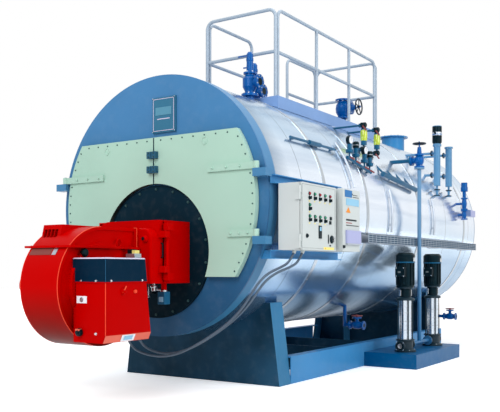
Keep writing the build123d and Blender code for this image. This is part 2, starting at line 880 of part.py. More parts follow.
save("burner_motor", burner_motor.part)

# Burner hinge: lugs on the box, a pin, and ears on the housing
burner_hinge_x = burner_half_width + 30
burner_hinge_y = mount_front_y - burner_gap / 2
with BuildPart() as burner_pin:
    for low, high in ((burner_floor + 30, burner_floor + 90), (burner_top - 90, burner_top - 30)):
        bar(burner_half_width, burner_hinge_x + 20, burner_hinge_y + 4, burner_hinge_y + 60, low, high)
        bar(burner_half_width, burner_hinge_x + 20, burner_hinge_y - 20, burner_hinge_y + 20, low, high)
    rod((burner_hinge_x, burner_hinge_y, burner_floor + 30), (burner_hinge_x, burner_hinge_y, burner_top - 20), burner_pin_radius)
save("burner_hinge_pin", burner_pin.part)

with BuildPart() as burner_ears:
    for low in (burner_floor + 96, burner_top - 156):
        bar(burner_half_width - 20, burner_hinge_x + 20, burner_hinge_y - 62, burner_hinge_y - 10, low, low + 60)
        rod((burner_hinge_x, burner_hinge_y, low), (burner_hinge_x, burner_hinge_y, low + 60), 22)
        rod(
            (burner_hinge_x, burner_hinge_y, low),
            (burner_hinge_x, burner_hinge_y, low + 60),
            burner_pin_radius + pin_clearance,
            Mode.SUBTRACT,
        )
save("burner_hinge_ears", burner_ears.part)


# Cabinet rails: channels along the boiler's right side
def rail_channel(height):
    x0 = casing_radius + seat
    x1 = cabinet_inner_x
    low = height - rail_height / 2
    high = height + rail_height / 2
    bar(x0, x0 + rail_plate, rail_front_y, rail_rear_y, low, high)
    bar(x0, x1, rail_front_y, rail_rear_y, low, low + rail_plate)
    bar(x0, x1, rail_front_y, rail_rear_y, high - rail_plate, high)
    for y in rail_bracket_ys:
        bar(rail_bracket_inner_x, x0 + rail_plate / 2, y, y + rail_bracket_width, low, high)


with BuildPart() as cabinet_rails:
    rail_channel(upper_rail_height)
    rail_channel(lower_rail_height)
    cut_by_shell(rail_front_y, shell_front_y, casing_radius)
    cut_by_shell(shell_front_y, rail_rear_y)
save("cabinet_rails", cabinet_rails.part)

cabinet_outer_x = cabinet_inner_x + cabinet_depth
with BuildPart() as cabinet:
    bar(cabinet_inner_x, cabinet_outer_x, cabinet_front_y, cabinet_rear_y, cabinet_floor, cabinet_top)
    bar(
        cabinet_inner_x + cabinet_wall,
        cabinet_outer_x,
        cabinet_front_y + cabinet_wall,
        cabinet_rear_y - cabinet_wall,
        cabinet_floor + cabinet_wall,
        cabinet_top - cabinet_wall,
        Mode.SUBTRACT,
    )
    for before, end in (burner_lead_1[-2:], burner_lead_2[-2:]):
        direction = (Vector(end) - Vector(before)).normalized()
        rod(end, Vector(end) + direction * (cabinet_floor + cabinet_wall / 2 - end[2]) / direction.Z, gland_radius)
save("control_cabinet", cabinet.part)

# Cabinet door on two lift-off hinges at its front edge
door_x0 = cabinet_outer_x + cabinet_door_gap
cabinet_hinge_x = door_x0 + 4
cabinet_hinge_y = cabinet_front_y - 14
with BuildPart() as cabinet_hinges:
    for height in cabinet_hinge_heights:
        low = height - cabinet_hinge_length
        bar(cabinet_outer_x - 40, cabinet_hinge_x, cabinet_hinge_y - 6, cabinet_front_y, low, height)
        rod((cabinet_hinge_x, cabinet_hinge_y, low), (cabinet_hinge_x, cabinet_hinge_y, height), cabinet_knuckle_radius)
        top = height + cabinet_hinge_length
        rod((cabinet_hinge_x, cabinet_hinge_y, low), (cabinet_hinge_x, cabinet_hinge_y, top), cabinet_pin_radius)
save("cabinet_hinges", cabinet_hinges.part)

with BuildPart() as cabinet_door:
    bar(door_x0, door_x0 + cabinet_door_thickness, cabinet_front_y, cabinet_rear_y, cabinet_floor, cabinet_top)
    for height in cabinet_hinge_heights:
        low = height + 1
        top = height + cabinet_hinge_length
        bar(cabinet_hinge_x, door_x0 + 14, cabinet_hinge_y, cabinet_front_y + 1, low, top)
        rod((cabinet_hinge_x, cabinet_hinge_y, low), (cabinet_hinge_x, cabinet_hinge_y, top), cabinet_knuckle_radius)
        bored = cabinet_pin_radius + pin_clearance
        rod((cabinet_hinge_x, cabinet_hinge_y, low), (cabinet_hinge_x, cabinet_hinge_y, top), bored, Mode.SUBTRACT)
save("cabinet_door", cabinet_door.part)

with BuildPart() as mounting_plate:
    plate_x = cabinet_inner_x + cabinet_wall
    bar(plate_x, plate_x + 12, cabinet_front_y + 40, cabinet_rear_y - 40, cabinet_floor + 40, cabinet_top - 40)
    plate_middle_y = (cabinet_front_y + cabinet_rear_y) / 2
    plate_middle_z = (cabinet_floor + cabinet_top) / 2
    for row in range(device_rows):
        for column in range(device_columns):
            y = plate_middle_y + (column - (device_columns - 1) / 2) * device_pitch
            z = plate_middle_z + (row - (device_rows - 1) / 2) * device_row_pitch
            half = device_width / 2
            bar(plate_x + 12, plate_x + 12 + device_depth, y - half, y + half, z - device_height / 2, z + device_height / 2)
save("mounting_plate", mounting_plate.part)

with BuildPart() as aux_cabinet:
    bar(cabinet_inner_x, cabinet_inner_x + aux_depth, aux_front_y, aux_rear_y, cabinet_floor, cabinet_top)
save("aux_cabinet", aux_cabinet.part)

# Deck on the shell's crown
deck_under = deck_height - deck_plate
with BuildPart() as deck_frame:
    bar(-deck_half_width, deck_half_width, deck_front_y, deck_rear_y, axis_height, deck_under)
    bar(
        -deck_half_width + board_thickness,
        deck_half_width - board_thickness,
        deck_front_y + board_thickness,
        deck_rear_y - board_thickness,
        axis_height,
        deck_under,
        Mode.SUBTRACT,
    )
    barrel_radius = shell_radius + 2 * seat + strap_thickness
    with BuildSketch(front(deck_rear_y)):
        with Locations((0, axis_height)):
            Circle(barrel_radius)
    extrude(amount=deck_rear_y - deck_front_y, mode=Mode.SUBTRACT)
save("deck_frame", deck_frame.part)

with BuildPart() as deck:
    bar(-deck_half_width, deck_half_width, deck_front_y, deck_rear_y, deck_under, deck_height)
    rod((steam_valve_x, steam_valve_y, deck_under), (steam_valve_x, steam_valve_y, deck_height), steam_flange_radius + 45, Mode.SUBTRACT)
    second = safety_valve_places[1]
    rod((second[0], second[1], deck_under), (second[0], second[1], deck_height), 110, Mode.SUBTRACT)
save("deck_plate", deck.part)

# Railing panels round the deck
rail_x = deck_half_width - railing_inset


def side_panel(x, stretches):
    """Posts and two rails along Y at x, one bent tube for each stretch."""
    with BuildPart() as panel:
        for y0, y1, posts in stretches:
            path = [(x, y0, deck_height), (x, y0, top_rail_height), (x, y1, top_rail_height), (x, y1, deck_height)]
            with BuildLine() as line:
                FilletPolyline(*path, radius=corner_bend)
            with BuildSketch(Plane(origin=path[0], z_dir=(0, 0, 1))):
                Circle(rail_tube_radius)
            sweep(path=line.wires()[0])
            rod((x, y0, mid_rail_height), (x, y1, mid_rail_height), rail_tube_radius)
            for y in posts:
                rod((x, y, deck_height), (x, y, top_rail_height), rail_tube_radius)
    return panel.part


post_gap = 6.0
side_post_y0 = post_ys[0] + 3 * rail_tube_radius + post_gap
side_post_y1 = post_ys[3] - 3 * rail_tube_radius - post_gap
save("right_railing", side_panel(rail_x, [(side_post_y0, side_post_y1, post_ys[1:3])]))
save("left_railing", side_panel(-rail_x, [(side_post_y0, post_ys[1], ()), (post_ys[2], side_post_y1, ())]))


def end_panel(y):
    with BuildPart() as panel:
        path = [(-rail_x, y, deck_height), (-rail_x, y, top_rail_height), (rail_x, y, top_rail_height), (rail_x, y, deck_height)]
        with BuildLine() as line:
            FilletPolyline(*path, radius=corner_bend)
        with BuildSketch(Plane(origin=path[0], z_dir=(0, 0, 1))):
            Circle(rail_tube_radius)
        sweep(path=line.wires()[0])
        rod((-rail_x, y, mid_rail_height), (rail_x, y, mid_rail_height), rail_tube_radius)
    return panel.part


save("front_railing", end_panel(post_ys[0] + rail_tube_radius))
save("rear_railing", end_panel(post_ys[3] - rail_tube_radius))


# Safety valves: flanged angle valves with a side outlet and a lever
def safety_valve(x, y):
    base = (x, y, shell_side(x) - 10)
    profile = [
        (0, -20), (48, -20), (48, 60), (92, 60), (92, 84), (56, 90), (56, 120), (78, 160), (78, 250),
        (52, 285), (52, 300), (70, 300), (70, 318), (38, 330), (34, 520), (20, 540), (0, 540),
    ]
    with BuildPart() as valve:
        turned(base, (0, 0, 1), profile)
        rod((x, y, base[2] + 205), (x + 120, y, base[2] + 205), 46)
        rod((x + 112, y, base[2] + 205), (x + 134, y, base[2] + 205), 80)
        bar(x - 150, x + 20, y - 8, y + 8, base[2] + 500, base[2] + 514)
        cut_by_shell(y - 100, y + 100)
    return valve.part


for number, (x, y) in enumerate(safety_valve_places, start=1):
    save(f"safety_valve_{number}", safety_valve(x, y))

# Steam stop valve on its riser, with its bonnet towards +X
steam_base = (steam_valve_x, steam_valve_y, shell_side(steam_valve_x) - 10)
spindle_height = deck_height + steam_spindle_rise
steam_top = deck_height + steam_valve_rise
steam_body = (steam_valve_x, steam_valve_y, spindle_height)
wheel_hub = (steam_valve_x + steam_wheel_reach, steam_valve_y, spindle_height)
with BuildPart() as steam_valve:
    middle = spindle_height - steam_base[2]
    rise = steam_top - steam_base[2]
    riser = steam_riser_radius
    turned(
        steam_base,
        (0, 0, 1),
        [
            (0, -30), (riser, -30), (riser, middle - 130), (steam_flange_radius - 14, middle - 130),
            (steam_flange_radius - 14, middle - 112), (62, middle - 104), (92, middle - 50), (97, middle),
            (88, middle + 50), (68, rise - 40), (68, rise - 20), (steam_flange_radius, rise - 20),
            (steam_flange_radius, rise), (0, rise),
        ],
    )
    turned(
        steam_body,
        (1, 0, 0),
        [
            (0, 0), (70, 0), (70, 106), (86, 106), (86, 126), (44, 134), (30, 170), (22, 190),
            (steam_spindle_radius, 194), (steam_spindle_radius, steam_wheel_reach + 24), (0, steam_wheel_reach + 24),
        ],
    )
    mouth = (steam_valve_x, steam_valve_y, steam_top)
    rod((steam_valve_x, steam_valve_y, steam_top - steam_bore_depth), mouth, steam_bore_radius, Mode.SUBTRACT)
    cut_by_shell(steam_valve_y - 200, steam_valve_y + 200)
save("steam_valve", steam_valve.part)

steam_wheel = handwheel(wheel_hub, (1, 0, 0), steam_wheel_radius, 9)
with BuildPart() as steam_wheel_bored:
    add(steam_wheel)
    bored = steam_spindle_radius + pin_clearance
    rod((wheel_hub[0] - 30, wheel_hub[1], wheel_hub[2]), (wheel_hub[0] + 30, wheel_hub[1], wheel_hub[2]), bored, Mode.SUBTRACT)
save("steam_wheel", steam_wheel_bored.part)

# Flue stub with a bolted flange
flue_base = shell_side(flue_radius)
with BuildPart() as flue_stub:
    rod((0, flue_y, flue_base - 60), (0, flue_y, flue_top), flue_radius)
    rod((0, flue_y, flue_top - 14), (0, flue_y, flue_top), flue_flange_radius)
    rod((0, flue_y, flue_base - 60), (0, flue_y, flue_top), flue_radius - flue_wall, Mode.SUBTRACT)
    with BuildSketch(Plane.XY.offset(flue_top - 14)):
        with Locations((0, flue_y)):
            with PolarLocations(flue_bolt_circle, flue_bolt_count):
                Circle(flue_bolt_radius)
    extrude(amount=14, mode=Mode.SUBTRACT)
    cut_by_shell(flue_y - flue_flange_radius, flue_y + flue_flange_radius)
save("flue_stub", flue_stub.part)

# Feed pump shelf beside the right skid beam
shelf_x0 = beam_outer + seat
shelf_x1 = pump_x + shelf_edge
shelf_y0 = pump_ys[0] - shelf_overhang
shelf_y1 = pump_ys[1] + shelf_overhang
with BuildPart() as pump_shelf:
    bar(shelf_x0, shelf_x1, shelf_y0, shelf_y1, shelf_height - shelf_plate, shelf_height)
    bar(shelf_x1 - shelf_post, shelf_x1, shelf_y0, shelf_y1, 0, shelf_plate)
    bar(shelf_x1 - shelf_plate, shelf_x1, shelf_y0, shelf_y1, 0, shelf_height)
    for y0 in (shelf_y0, (shelf_y0 + shelf_y1 - shelf_plate) / 2, shelf_y1 - shelf_plate):
        bar(shelf_x0, shelf_x1, y0, y0 + shelf_plate, 0, shelf_height)
save("pump_shelf", pump_shelf.part)


# Vertical multistage pumps: ported base, sleeve with tie rods, head and a finned motor on top
port_height = shelf_height + pump_port_height


def pump_body(y):
    """An in-line pump: the bored base with its two flanges, and on it the stage sleeve and the head."""
    h1 = pump_base_height
    h2 = pump_sleeve_height
    h3 = h2 + pump_head_height
    with BuildPart() as base:
        turned(
            (pump_x, y, shelf_height),
            (0, 0, 1),
            [
                (0, 0), (pump_base_radius, 0), (pump_base_radius, 18), (92, 34), (92, h1 - 22), (108, h1 - 16),
                (108, h1), (0, h1),
            ],
        )
        ports = [(pump_x, y + end * pump_flange_reach, port_height) for end in (-1, 1)]
        rod(ports[0], ports[1], pump_port_radius + 10)
        for end in (-1, 1):
            inner = (pump_x, y + end * (pump_flange_reach - flange_thickness), port_height)
            rod(inner, (pump_x, y + end * pump_flange_reach, port_height), pump_flange_radius)
        inlet = -1 if y == min(pump_ys) else 1
        mouth = (pump_x, y + inlet * pump_flange_reach, port_height)
        bore = [(0, 0), (pump_port_radius, 0), (pump_port_radius, pump_inlet_depth), (0, pump_inlet_depth + pump_drill_point)]
        turned(mouth, (0, -inlet, 0), bore, Mode.SUBTRACT)
    with BuildPart() as column:
        turned(
            (pump_x, y, shelf_height + h1),
            (0, 0, 1),
            [
                (0, 0), (pump_sleeve_radius, 0), (pump_sleeve_radius, h2), (106, h2), (106, h2 + 24),
                (64, h2 + 40), (64, h3 - 18), (98, h3 - 14), (98, h3), (0, h3),
            ],
        )
        for step in range(4):
            turn = radians(45 + 90 * step)
            x = pump_x + (pump_sleeve_radius + 20) * cos(turn)
            rod_y = y + (pump_sleeve_radius + 20) * sin(turn)
            rod((x, rod_y, shelf_height + h1), (x, rod_y, shelf_height + h1 + h2 + 10), 7)
    return Compound([base.part.solid(), column.part.solid()])


motor_base = shelf_height + pump_base_height + pump_sleeve_height + pump_head_height


def pump_motor(y):
    """A flanged motor with cooling fins, a fan cowl and a terminal box towards -Y."""
    with BuildPart() as motor:
        r = pump_motor_radius
        top = pump_motor_height
        core = r - 14
        turned(
            (pump_x, y, motor_base),
            (0, 0, 1),
            [
                (0, 0), (r - 8, 0), (r - 8, 18), (core, 24), (core, 0.72 * top), (r, 0.72 * top), (r, top - 24),
                (r - 22, top), (0, top),
            ],
        )
        with Locations((pump_x, y, motor_base + 24)):
            with PolarLocations(0, pump_fin_count):
                Box(2 * (r - 3), 5, 0.72 * top - 24, align=(Align.CENTER, Align.CENTER, Align.MIN))
        bar(pump_x - 55, pump_x + 55, y - r - 55, y - core + 8, motor_base + 120, motor_base + 235)
    return motor.part


for number, y in enumerate(pump_ys, start=1):
    save(f"pump_{number}_body", pump_body(y))
    save(f"pump_{number}_motor", pump_motor(y))


# Feed line: a header between the pumps, a riser, an angle valve and a branch into the shell
riser_y = (pump_ys[0] + pump_ys[1]) / 2
feed_valve_base = (pump_x, riser_y, feed_valve_height)
with BuildPart() as feed_riser:
    y0 = pump_ys[0] + pump_flange_reach
    y1 = pump_ys[1] - pump_flange_reach
    rod((pump_x, y0, port_height), (pump_x, y1, port_height), feed_pipe_radius)
    for a, b in ((y0, y0 + flange_thickness), (y1 - flange_thickness, y1)):
        rod((pump_x, a, port_height), (pump_x, b, port_height), pump_flange_radius)
    rod((pump_x, riser_y, port_height), feed_valve_base, feed_pipe_radius)
    rod((pump_x, riser_y, feed_valve_height - flange_thickness), feed_valve_base, feed_flange_radius)
save("feed_riser", feed_riser.part)

outlet_height = feed_valve_height + feed_outlet_rise
outlet_x = pump_x - feed_outlet_reach
feed_nozzle_x = shell_reach(outlet_height) - feed_nozzle_depth
header_front, header_rear = along_shell(header_drops, header_ys, header_stand_offs)
feed_hub = (pump_x, riser_y, feed_valve_height + feed_wheel_rise)
with BuildPart() as feed_valve:
    turned(
        feed_valve_base,
        (0, 0, 1),
        [
            (0, 0), (feed_flange_radius, 0), (feed_flange_radius, flange_thickness), (36, 26), (54, 66), (56, 92),
            (50, 124), (38, 142), (56, 148), (56, 164), (30, 172), (22, 250), (feed_spindle_radius, 256),
            (feed_spindle_radius, feed_wheel_rise + 26), (0, feed_wheel_rise + 26),
        ],
    )
    rod((pump_x, riser_y, outlet_height), (outlet_x, riser_y, outlet_height), 38)
    rod((outlet_x + flange_thickness, riser_y, outlet_height), (outlet_x, riser_y, outlet_height), feed_flange_radius)
save("feed_valve", feed_valve.part)

# Feed branch into the shell, and the drain header with its short branch pipes
with BuildPart() as feed_branch:
    rod((outlet_x, riser_y, outlet_height), (outlet_x - flange_thickness, riser_y, outlet_height), feed_flange_radius)
    rod((outlet_x, riser_y, outlet_height), (feed_nozzle_x, riser_y, outlet_height), feed_pipe_radius)
    header_line = Vector(header_rear) - Vector(header_front)
    rod(header_front, header_rear, header_radius)
    for place in header_branch_places:
        foot = Vector(header_front) + header_line * place
        inward = Vector(feed_nozzle_x - foot.X, 0, outlet_height - foot.Z)
        rod(foot, foot + inward, header_branch_radius)
    cut_by_shell(header_front[1] - 200, header_rear[1] + 200)
save("feed_branch", feed_branch.part)

feed_wheel = handwheel(feed_hub, (0, 0, 1), feed_wheel_radius, 8)
with BuildPart() as feed_wheel_bored:
    add(feed_wheel)
    bored = feed_spindle_radius + pin_clearance
    rod((pump_x, riser_y, feed_hub[2] - 30), (pump_x, riser_y, feed_hub[2] + 30), bored, Mode.SUBTRACT)
save("feed_wheel", feed_wheel_bored.part)


# Shell instruments: two level gauges, the pressure manifold and the conduit along the crown
gauge_high = crown_height - gauge_drop
gauge_low = gauge_high - gauge_span
gauge_x = shell_reach(gauge_low, shell_radius + gauge_stand_off)
manifold_front, manifold_rear = along_shell(manifold_drops, manifold_ys, manifold_stand_offs)


def level_gauge(y):
    """Two cocks on arms from the shell with the guarded glass between them."""
    for height in (gauge_low, gauge_high):
        rod((shell_reach(height) - 30, y, height), (gauge_x, y, height), gauge_arm_radius)
        rod((gauge_x - 58, y, height), (gauge_x + 26, y, height), gauge_cock_radius)
        rod((gauge_x, y, height), (gauge_x, y - 52, height), 9)
    rod((gauge_x, y, gauge_low), (gauge_x, y, gauge_high), gauge_arm_radius)
    middle = (gauge_low + gauge_high) / 2
    rod((gauge_x, y, middle - 92), (gauge_x, y, middle + 92), gauge_guard_radius)


with BuildPart() as shell_instruments:
    for y in gauge_ys:
        level_gauge(y)
    manifold_line = Vector(manifold_rear) - Vector(manifold_front)
    rod(manifold_front, manifold_rear, manifold_radius)
    for place in manifold_stations:
        foot = Vector(manifold_front) + manifold_line * place
        rod(foot, (foot.X, foot.Y, foot.Z + 70), 10)
        turned((foot.X, foot.Y, foot.Z + 60), (0, 0, 1), [(0, 0), (34, 0), (42, 12), (42, 34), (26, 46), (26, 100), (0, 100)])
        rod((foot.X, foot.Y, foot.Z), (foot.X - 120, foot.Y, foot.Z), 10)
    conduit_height = crown_height - conduit_drop
    conduit_x = shell_reach(conduit_height, shell_radius + conduit_stand_off + 6)
    rod((conduit_x, conduit_ys[0], conduit_height), (conduit_x, conduit_ys[1], conduit_height), conduit_radius)
    rod((conduit_x, conduit_joint_ys[0], conduit_height), (conduit_x, conduit_joint_ys[1], conduit_height), 24)
    for y in (conduit_ys[0] + 60, conduit_ys[1] - 60):
        bar(conduit_x - 60, conduit_x, y - 12, y + 12, conduit_height - 16, conduit_height)
    cut_by_shell(conduit_ys[0] - 50, gauge_ys[1] + 100)
save("shell_instruments", shell_instruments.part)

# Level chambers: a tube on two arms, a sensor head or a cap, and a drain valve below
chamber_floor = crown_height - chamber_drop
chamber_x = shell_reach(chamber_floor, shell_radius + chamber_stand_off)
with BuildPart() as level_chambers:
    for number, y in enumerate(chamber_ys):
        floor = chamber_floor + chamber_step * number
        r = chamber_radius
        profile = [(0, 0), (r, 0), (r, chamber_length), (r + 12, chamber_length), (r + 12, chamber_length + 22)]
        if number == 0:
            head = chamber_length + 22
            h = chamber_head_radius
            profile += [(h - 12, head + 14), (h, head + 34), (h, head + chamber_head_length), (0, head + chamber_head_length)]
        else:
            profile += [(0, chamber_length + 22)]
        turned((chamber_x, y, floor), (0, 0, 1), profile)
        d = chamber_drain_length
        turned(
            (chamber_x, y, floor + 2),
            (0, 0, -1),
            [(0, 0), (14, 0), (14, 52), (34, 52), (34, 64), (16, 74), (16, d - 28), (36, d - 16), (36, d), (0, d)],
        )
        for height in (floor + 150, floor + chamber_length - 90):
            rod((shell_reach(height) - 30, y, height), (chamber_x, y, height), chamber_arm_radius)
            rod((chamber_x - r - 34, y, height), (chamber_x - r - 18, y, height), 38)
    cut_by_shell(chamber_ys[0] - 100, chamber_ys[1] + 100)
save("level_chambers", level_chambers.part)


# Cable trays: a wire basket on brackets, and conduits bent to the shell
def shell_conduit(y, low_angle, high_angle):
    """A bent conduit at y, on two clips, from one angle over the horizontal to another."""
    bend = shell_radius + conduit_stand_off
    with BuildLine(front(y)) as line:
        CenterArc((0, axis_height), bend, low_angle, high_angle - low_angle)
    with BuildSketch(Plane(origin=line.wires()[0] @ 0, z_dir=line.wires()[0] % 0)) as section:
        Circle(conduit_radius)
    sweep(section.sketch, path=line.wires()[0])
    for angle in (low_angle + 4, high_angle - 4):
        turn = radians(angle)
        foot = (shell_radius * cos(turn), y, axis_height + shell_radius * sin(turn))
        rod(foot, (bend * cos(turn), y, axis_height + bend * sin(turn)), 9)


basket_x = shell_radius + 4 * basket_wall
with BuildPart() as cable_trays:
    outer_x = basket_x + basket_width
    rim = basket_floor + basket_height
    bar(basket_x, outer_x, basket_front_y, basket_rear_y, basket_floor, rim)
    bar(
        basket_x + basket_wall,
        outer_x - basket_wall,
        basket_front_y,
        basket_rear_y,
        basket_floor + basket_wall,
        rim,
        Mode.SUBTRACT,
    )
    for y in basket_bracket_ys:
        y1 = y + basket_bracket_width
        bar(shell_reach(basket_floor) - 30, outer_x, y, y1, basket_floor - 2 * basket_wall, basket_floor)
    for y, low_angle, high_angle in conduit_runs:
        shell_conduit(y, low_angle, high_angle)
    cut_by_shell(conduit_runs[0][0] - 100, basket_rear_y + 100)
save("cable_trays", cable_trays.part)


# Drains and the rear control valve
def drain_valve(x, y, height):
    """A flanged globe valve along X with its wheel on top."""
    turned(
        (x - 95, y, height),
        (1, 0, 0),
        [(0, 0), (52, 0), (52, 16), (30, 22), (46, 70), (46, 120), (30, 168), (52, 174), (52, 190), (0, 190)],
    )
    rod((x, y, height), (x, y, height + 92), 22)
    rod((x, y, height + 80), (x, y, height + 96), 55)


with BuildPart() as drain_valves:
    rod((blowdown_x, blowdown_y, axis_height), (blowdown_x, blowdown_y, blowdown_height - drain_pipe_radius), drain_pipe_radius)
    rod((blowdown_x, blowdown_y, blowdown_height), (blowdown_x + 80, blowdown_y, blowdown_height), drain_pipe_radius)
    drain_valve(blowdown_x + 160, blowdown_y, blowdown_height)
    nozzle_x = drain_x - 420
    rod((nozzle_x, drain_y, axis_height), (nozzle_x, drain_y, drain_height - drain_pipe_radius), drain_pipe_radius)
    rod((nozzle_x, drain_y, drain_height), (drain_x - 90, drain_y, drain_height), drain_pipe_radius)
    drain_valve(drain_x, drain_y, drain_height)
    with BuildSketch(front(drain_y + 200)) as inside:
        with Locations((0, axis_height)):
            Circle(shell_radius + seat)
    extrude(inside.sketch, amount=drain_y - blowdown_y + 400, mode=Mode.SUBTRACT)
    stack_x = shell_radius + stack_stand_off
    rise = stack_ceiling - stack_floor
    r = stack_radius
    turned(
        (stack_x, stack_y, stack_floor),
        (0, 0, 1),
        [
            (0, 0), (r, 0), (r, 16), (28, 22), (34, 70), (28, 118), (r, 124), (r, 156), (28, 162), (38, 230), (28, 290),
            (r, 296), (r, 312), (24, 320), (24, rise - 130), (r - 4, rise - 120), (r - 4, rise), (0, rise),
        ],
    )
    for height in (stack_floor + 70, stack_floor + 230):
        rod((shell_reach(height) - 20, stack_y, height), (stack_x, stack_y, height), 17)
    bar(stack_x - 30, stack_x + 30, stack_y, stack_y + 420, stack_floor + 60, stack_floor + 150)
    cut_by_shell(stack_y - 100, stack_y + 500)
save("drain_valves", drain_valves.part)


# Burner leads as tubes of straight runs and arcs
def burner_lead(name, points):
    radii = []
    for before, at, after in zip(points, points[1:], points[2:]):
        first = Vector(at) - Vector(before)
        second = Vector(after) - Vector(at)
        half_turn = radians(first.get_angle(second)) / 2
        radii.append(0.45 * min(first.length, second.length) / tan(half_turn))
    with BuildPart() as lead:
        with BuildLine() as line:
            FilletPolyline(*points, radius=radii)
        path = line.wires()[0]
        with BuildSketch(Plane(origin=points[0], z_dir=Vector(points[1]) - Vector(points[0]))):
            Circle(lead_radius)
        sweep(path=path)
    expected = 3.14159265 * lead_radius**2 * path.length
    print(name, "length", round(path.length), "smallest radius", round(min(radii)), "volume share", round(lead.part.volume / expected, 4))
    print("  radii", [round(radius) for radius in radii])
    save(name, lead.part)


burner_lead("burner_lead_1", burner_lead_1)
burner_lead("burner_lead_2", burner_lead_2)
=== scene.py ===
"""Looks of the industrial shell boiler: camera, light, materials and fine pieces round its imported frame.

Metres, in the frame of the CAD: the boiler axis runs along Y, the burner end faces -Y, +Z is up.
"""
import json
from itertools import product
from math import cos, pi, radians, sin

import bmesh
import bpy
from mathutils import Matrix, Vector


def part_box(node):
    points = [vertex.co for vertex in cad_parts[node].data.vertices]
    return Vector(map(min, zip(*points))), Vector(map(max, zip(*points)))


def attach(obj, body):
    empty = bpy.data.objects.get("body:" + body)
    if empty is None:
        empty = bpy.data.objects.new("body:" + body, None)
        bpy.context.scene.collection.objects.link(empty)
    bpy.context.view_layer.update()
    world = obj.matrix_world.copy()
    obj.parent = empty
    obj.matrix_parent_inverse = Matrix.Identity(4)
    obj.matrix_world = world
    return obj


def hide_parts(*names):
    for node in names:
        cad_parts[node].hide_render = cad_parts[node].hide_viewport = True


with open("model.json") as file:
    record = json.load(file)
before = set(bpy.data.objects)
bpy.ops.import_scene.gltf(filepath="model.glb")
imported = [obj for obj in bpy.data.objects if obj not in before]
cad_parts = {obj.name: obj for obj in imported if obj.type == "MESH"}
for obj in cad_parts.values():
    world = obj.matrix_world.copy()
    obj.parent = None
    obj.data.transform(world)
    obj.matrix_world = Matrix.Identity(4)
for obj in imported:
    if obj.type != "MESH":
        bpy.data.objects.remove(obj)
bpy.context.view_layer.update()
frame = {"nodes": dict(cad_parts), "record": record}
nodes = frame["nodes"]

# Places that several pieces share
AXIS_Z = 1.735
SHELL_R = 1.232
DOOR_R = 1.150
DOOR_CUT_R = 0.6475
DOOR_FACE_Y = -0.810
FURNACE_Z = 1.294
LATCH_HEIGHTS = (2.073, 2.210)
DRUM_Y, DRUM_Z = -1.725, 0.985
PUMP_X, PUMP_YS = 1.360, (2.110, 3.020)
PORT_Z, PORT_R = 0.240, 0.0264
SAFETY_PLACES = ((0.215, 0.530), (-0.030, 1.000))
STEAM_X, STEAM_Y = 0.300, 2.620
CHAMBER_X, CHAMBER_YS = 1.200, (3.647, 4.121)
CHAMBER_FLOOR, CHAMBER_STEP, CHAMBER_TALL = 2.256, 0.030, 0.534
LABEL_THICK = 0.0015

# Directions
LEFT, RIGHT = (-1, 0, 0), (1, 0, 0)
FORE, BACK = (0, -1, 0), (0, 1, 0)
DOWN, UP = (0, 0, -1), (0, 0, 1)


# Materials
def rgb(colour):
    """A colour given as it looks on screen, in the linear values that a shader takes."""
    return tuple(c / 12.92 if c <= 0.04045 else ((c + 0.055) / 1.055) ** 2.4 for c in colour) + (1.0,)


class Nodes:
    """A material's node tree with short calls to add and join its nodes."""

    def __init__(self, name):
        self.material = bpy.data.materials.new(name)
        self.material.use_nodes = True
        self.tree = self.material.node_tree
        self.shader = self.tree.nodes["Principled BSDF"]
        self.place = self.add("ShaderNodeTexCoord").outputs["Object"]

    def add(self, kind, **settings):
        node = self.tree.nodes.new(kind)
        for key, value in settings.items():
            setattr(node, key, value)
        return node

    def join(self, output, socket):
        self.tree.links.new(output, socket)

    def feed(self, socket, value):
        """Joins another node's output to a socket, or gives the socket a value of its own."""
        if isinstance(value, bpy.types.NodeSocket):
            self.join(value, socket)
        else:
            socket.default_value = value

    def noise(self, scale, detail=3.0, stretch=(1, 1, 1)):
        mapping = self.add("ShaderNodeMapping")
        mapping.inputs["Scale"].default_value = stretch
        self.join(self.place, mapping.inputs["Vector"])
        noise = self.add("ShaderNodeTexNoise")
        noise.inputs["Scale"].default_value = scale
        noise.inputs["Detail"].default_value = detail
        self.join(mapping.outputs["Vector"], noise.inputs["Vector"])
        return noise.outputs["Fac"]

    def ramp(self, factor, stops):
        node = self.add("ShaderNodeValToRGB")
        ramp = node.color_ramp
        while len(ramp.elements) < len(stops):
            ramp.elements.new(0.5)
        for element, (at, colour) in zip(ramp.elements, stops):
            element.position = at
            element.color = rgb(colour)
        self.join(factor, node.inputs["Fac"])
        return node.outputs["Color"]

    def range(self, factor, low, high, start=0.0, end=1.0):
        node = self.add("ShaderNodeMapRange")
        for key, value in (("From Min", start), ("From Max", end), ("To Min", low), ("To Max", high)):
            node.inputs[key].default_value = value
        self.join(factor, node.inputs["Value"])
        return node.outputs["Result"]

    def mix(self, factor, first, second):
        node = self.add("ShaderNodeMix", data_type="RGBA")
        for key, value in (("Factor", factor), ("A", first), ("B", second)):
            self.feed(node.inputs[key], rgb(value) if isinstance(value, tuple) else value)
        return node.outputs["Result"]

    def split(self):
        node = self.add("ShaderNodeSeparateXYZ")
        self.join(self.place, node.inputs[0])
        return node.outputs

    def maths(self, operation, first, second=0.0):
        node = self.add("ShaderNodeMath", operation=operation)
        for socket, value in zip(node.inputs, (first, second)):
            self.feed(socket, value)
        return node.outputs[0]

    def length(self, first, second):
        squares = [self.maths("MULTIPLY", each, each) for each in (first, second)]
        return self.maths("SQRT", self.maths("ADD", *squares))

    def bump(self, height, strength, distance):
        node = self.add("ShaderNodeBump")
        node.inputs["Strength"].default_value = strength
        node.inputs["Distance"].default_value = distance
        self.join(height, node.inputs["Height"])
        self.join(node.outputs["Normal"], self.shader.inputs["Normal"])

    def set(self, **values):
        for key, value in values.items():
            self.feed(self.shader.inputs[key.replace("_", " ")], value)


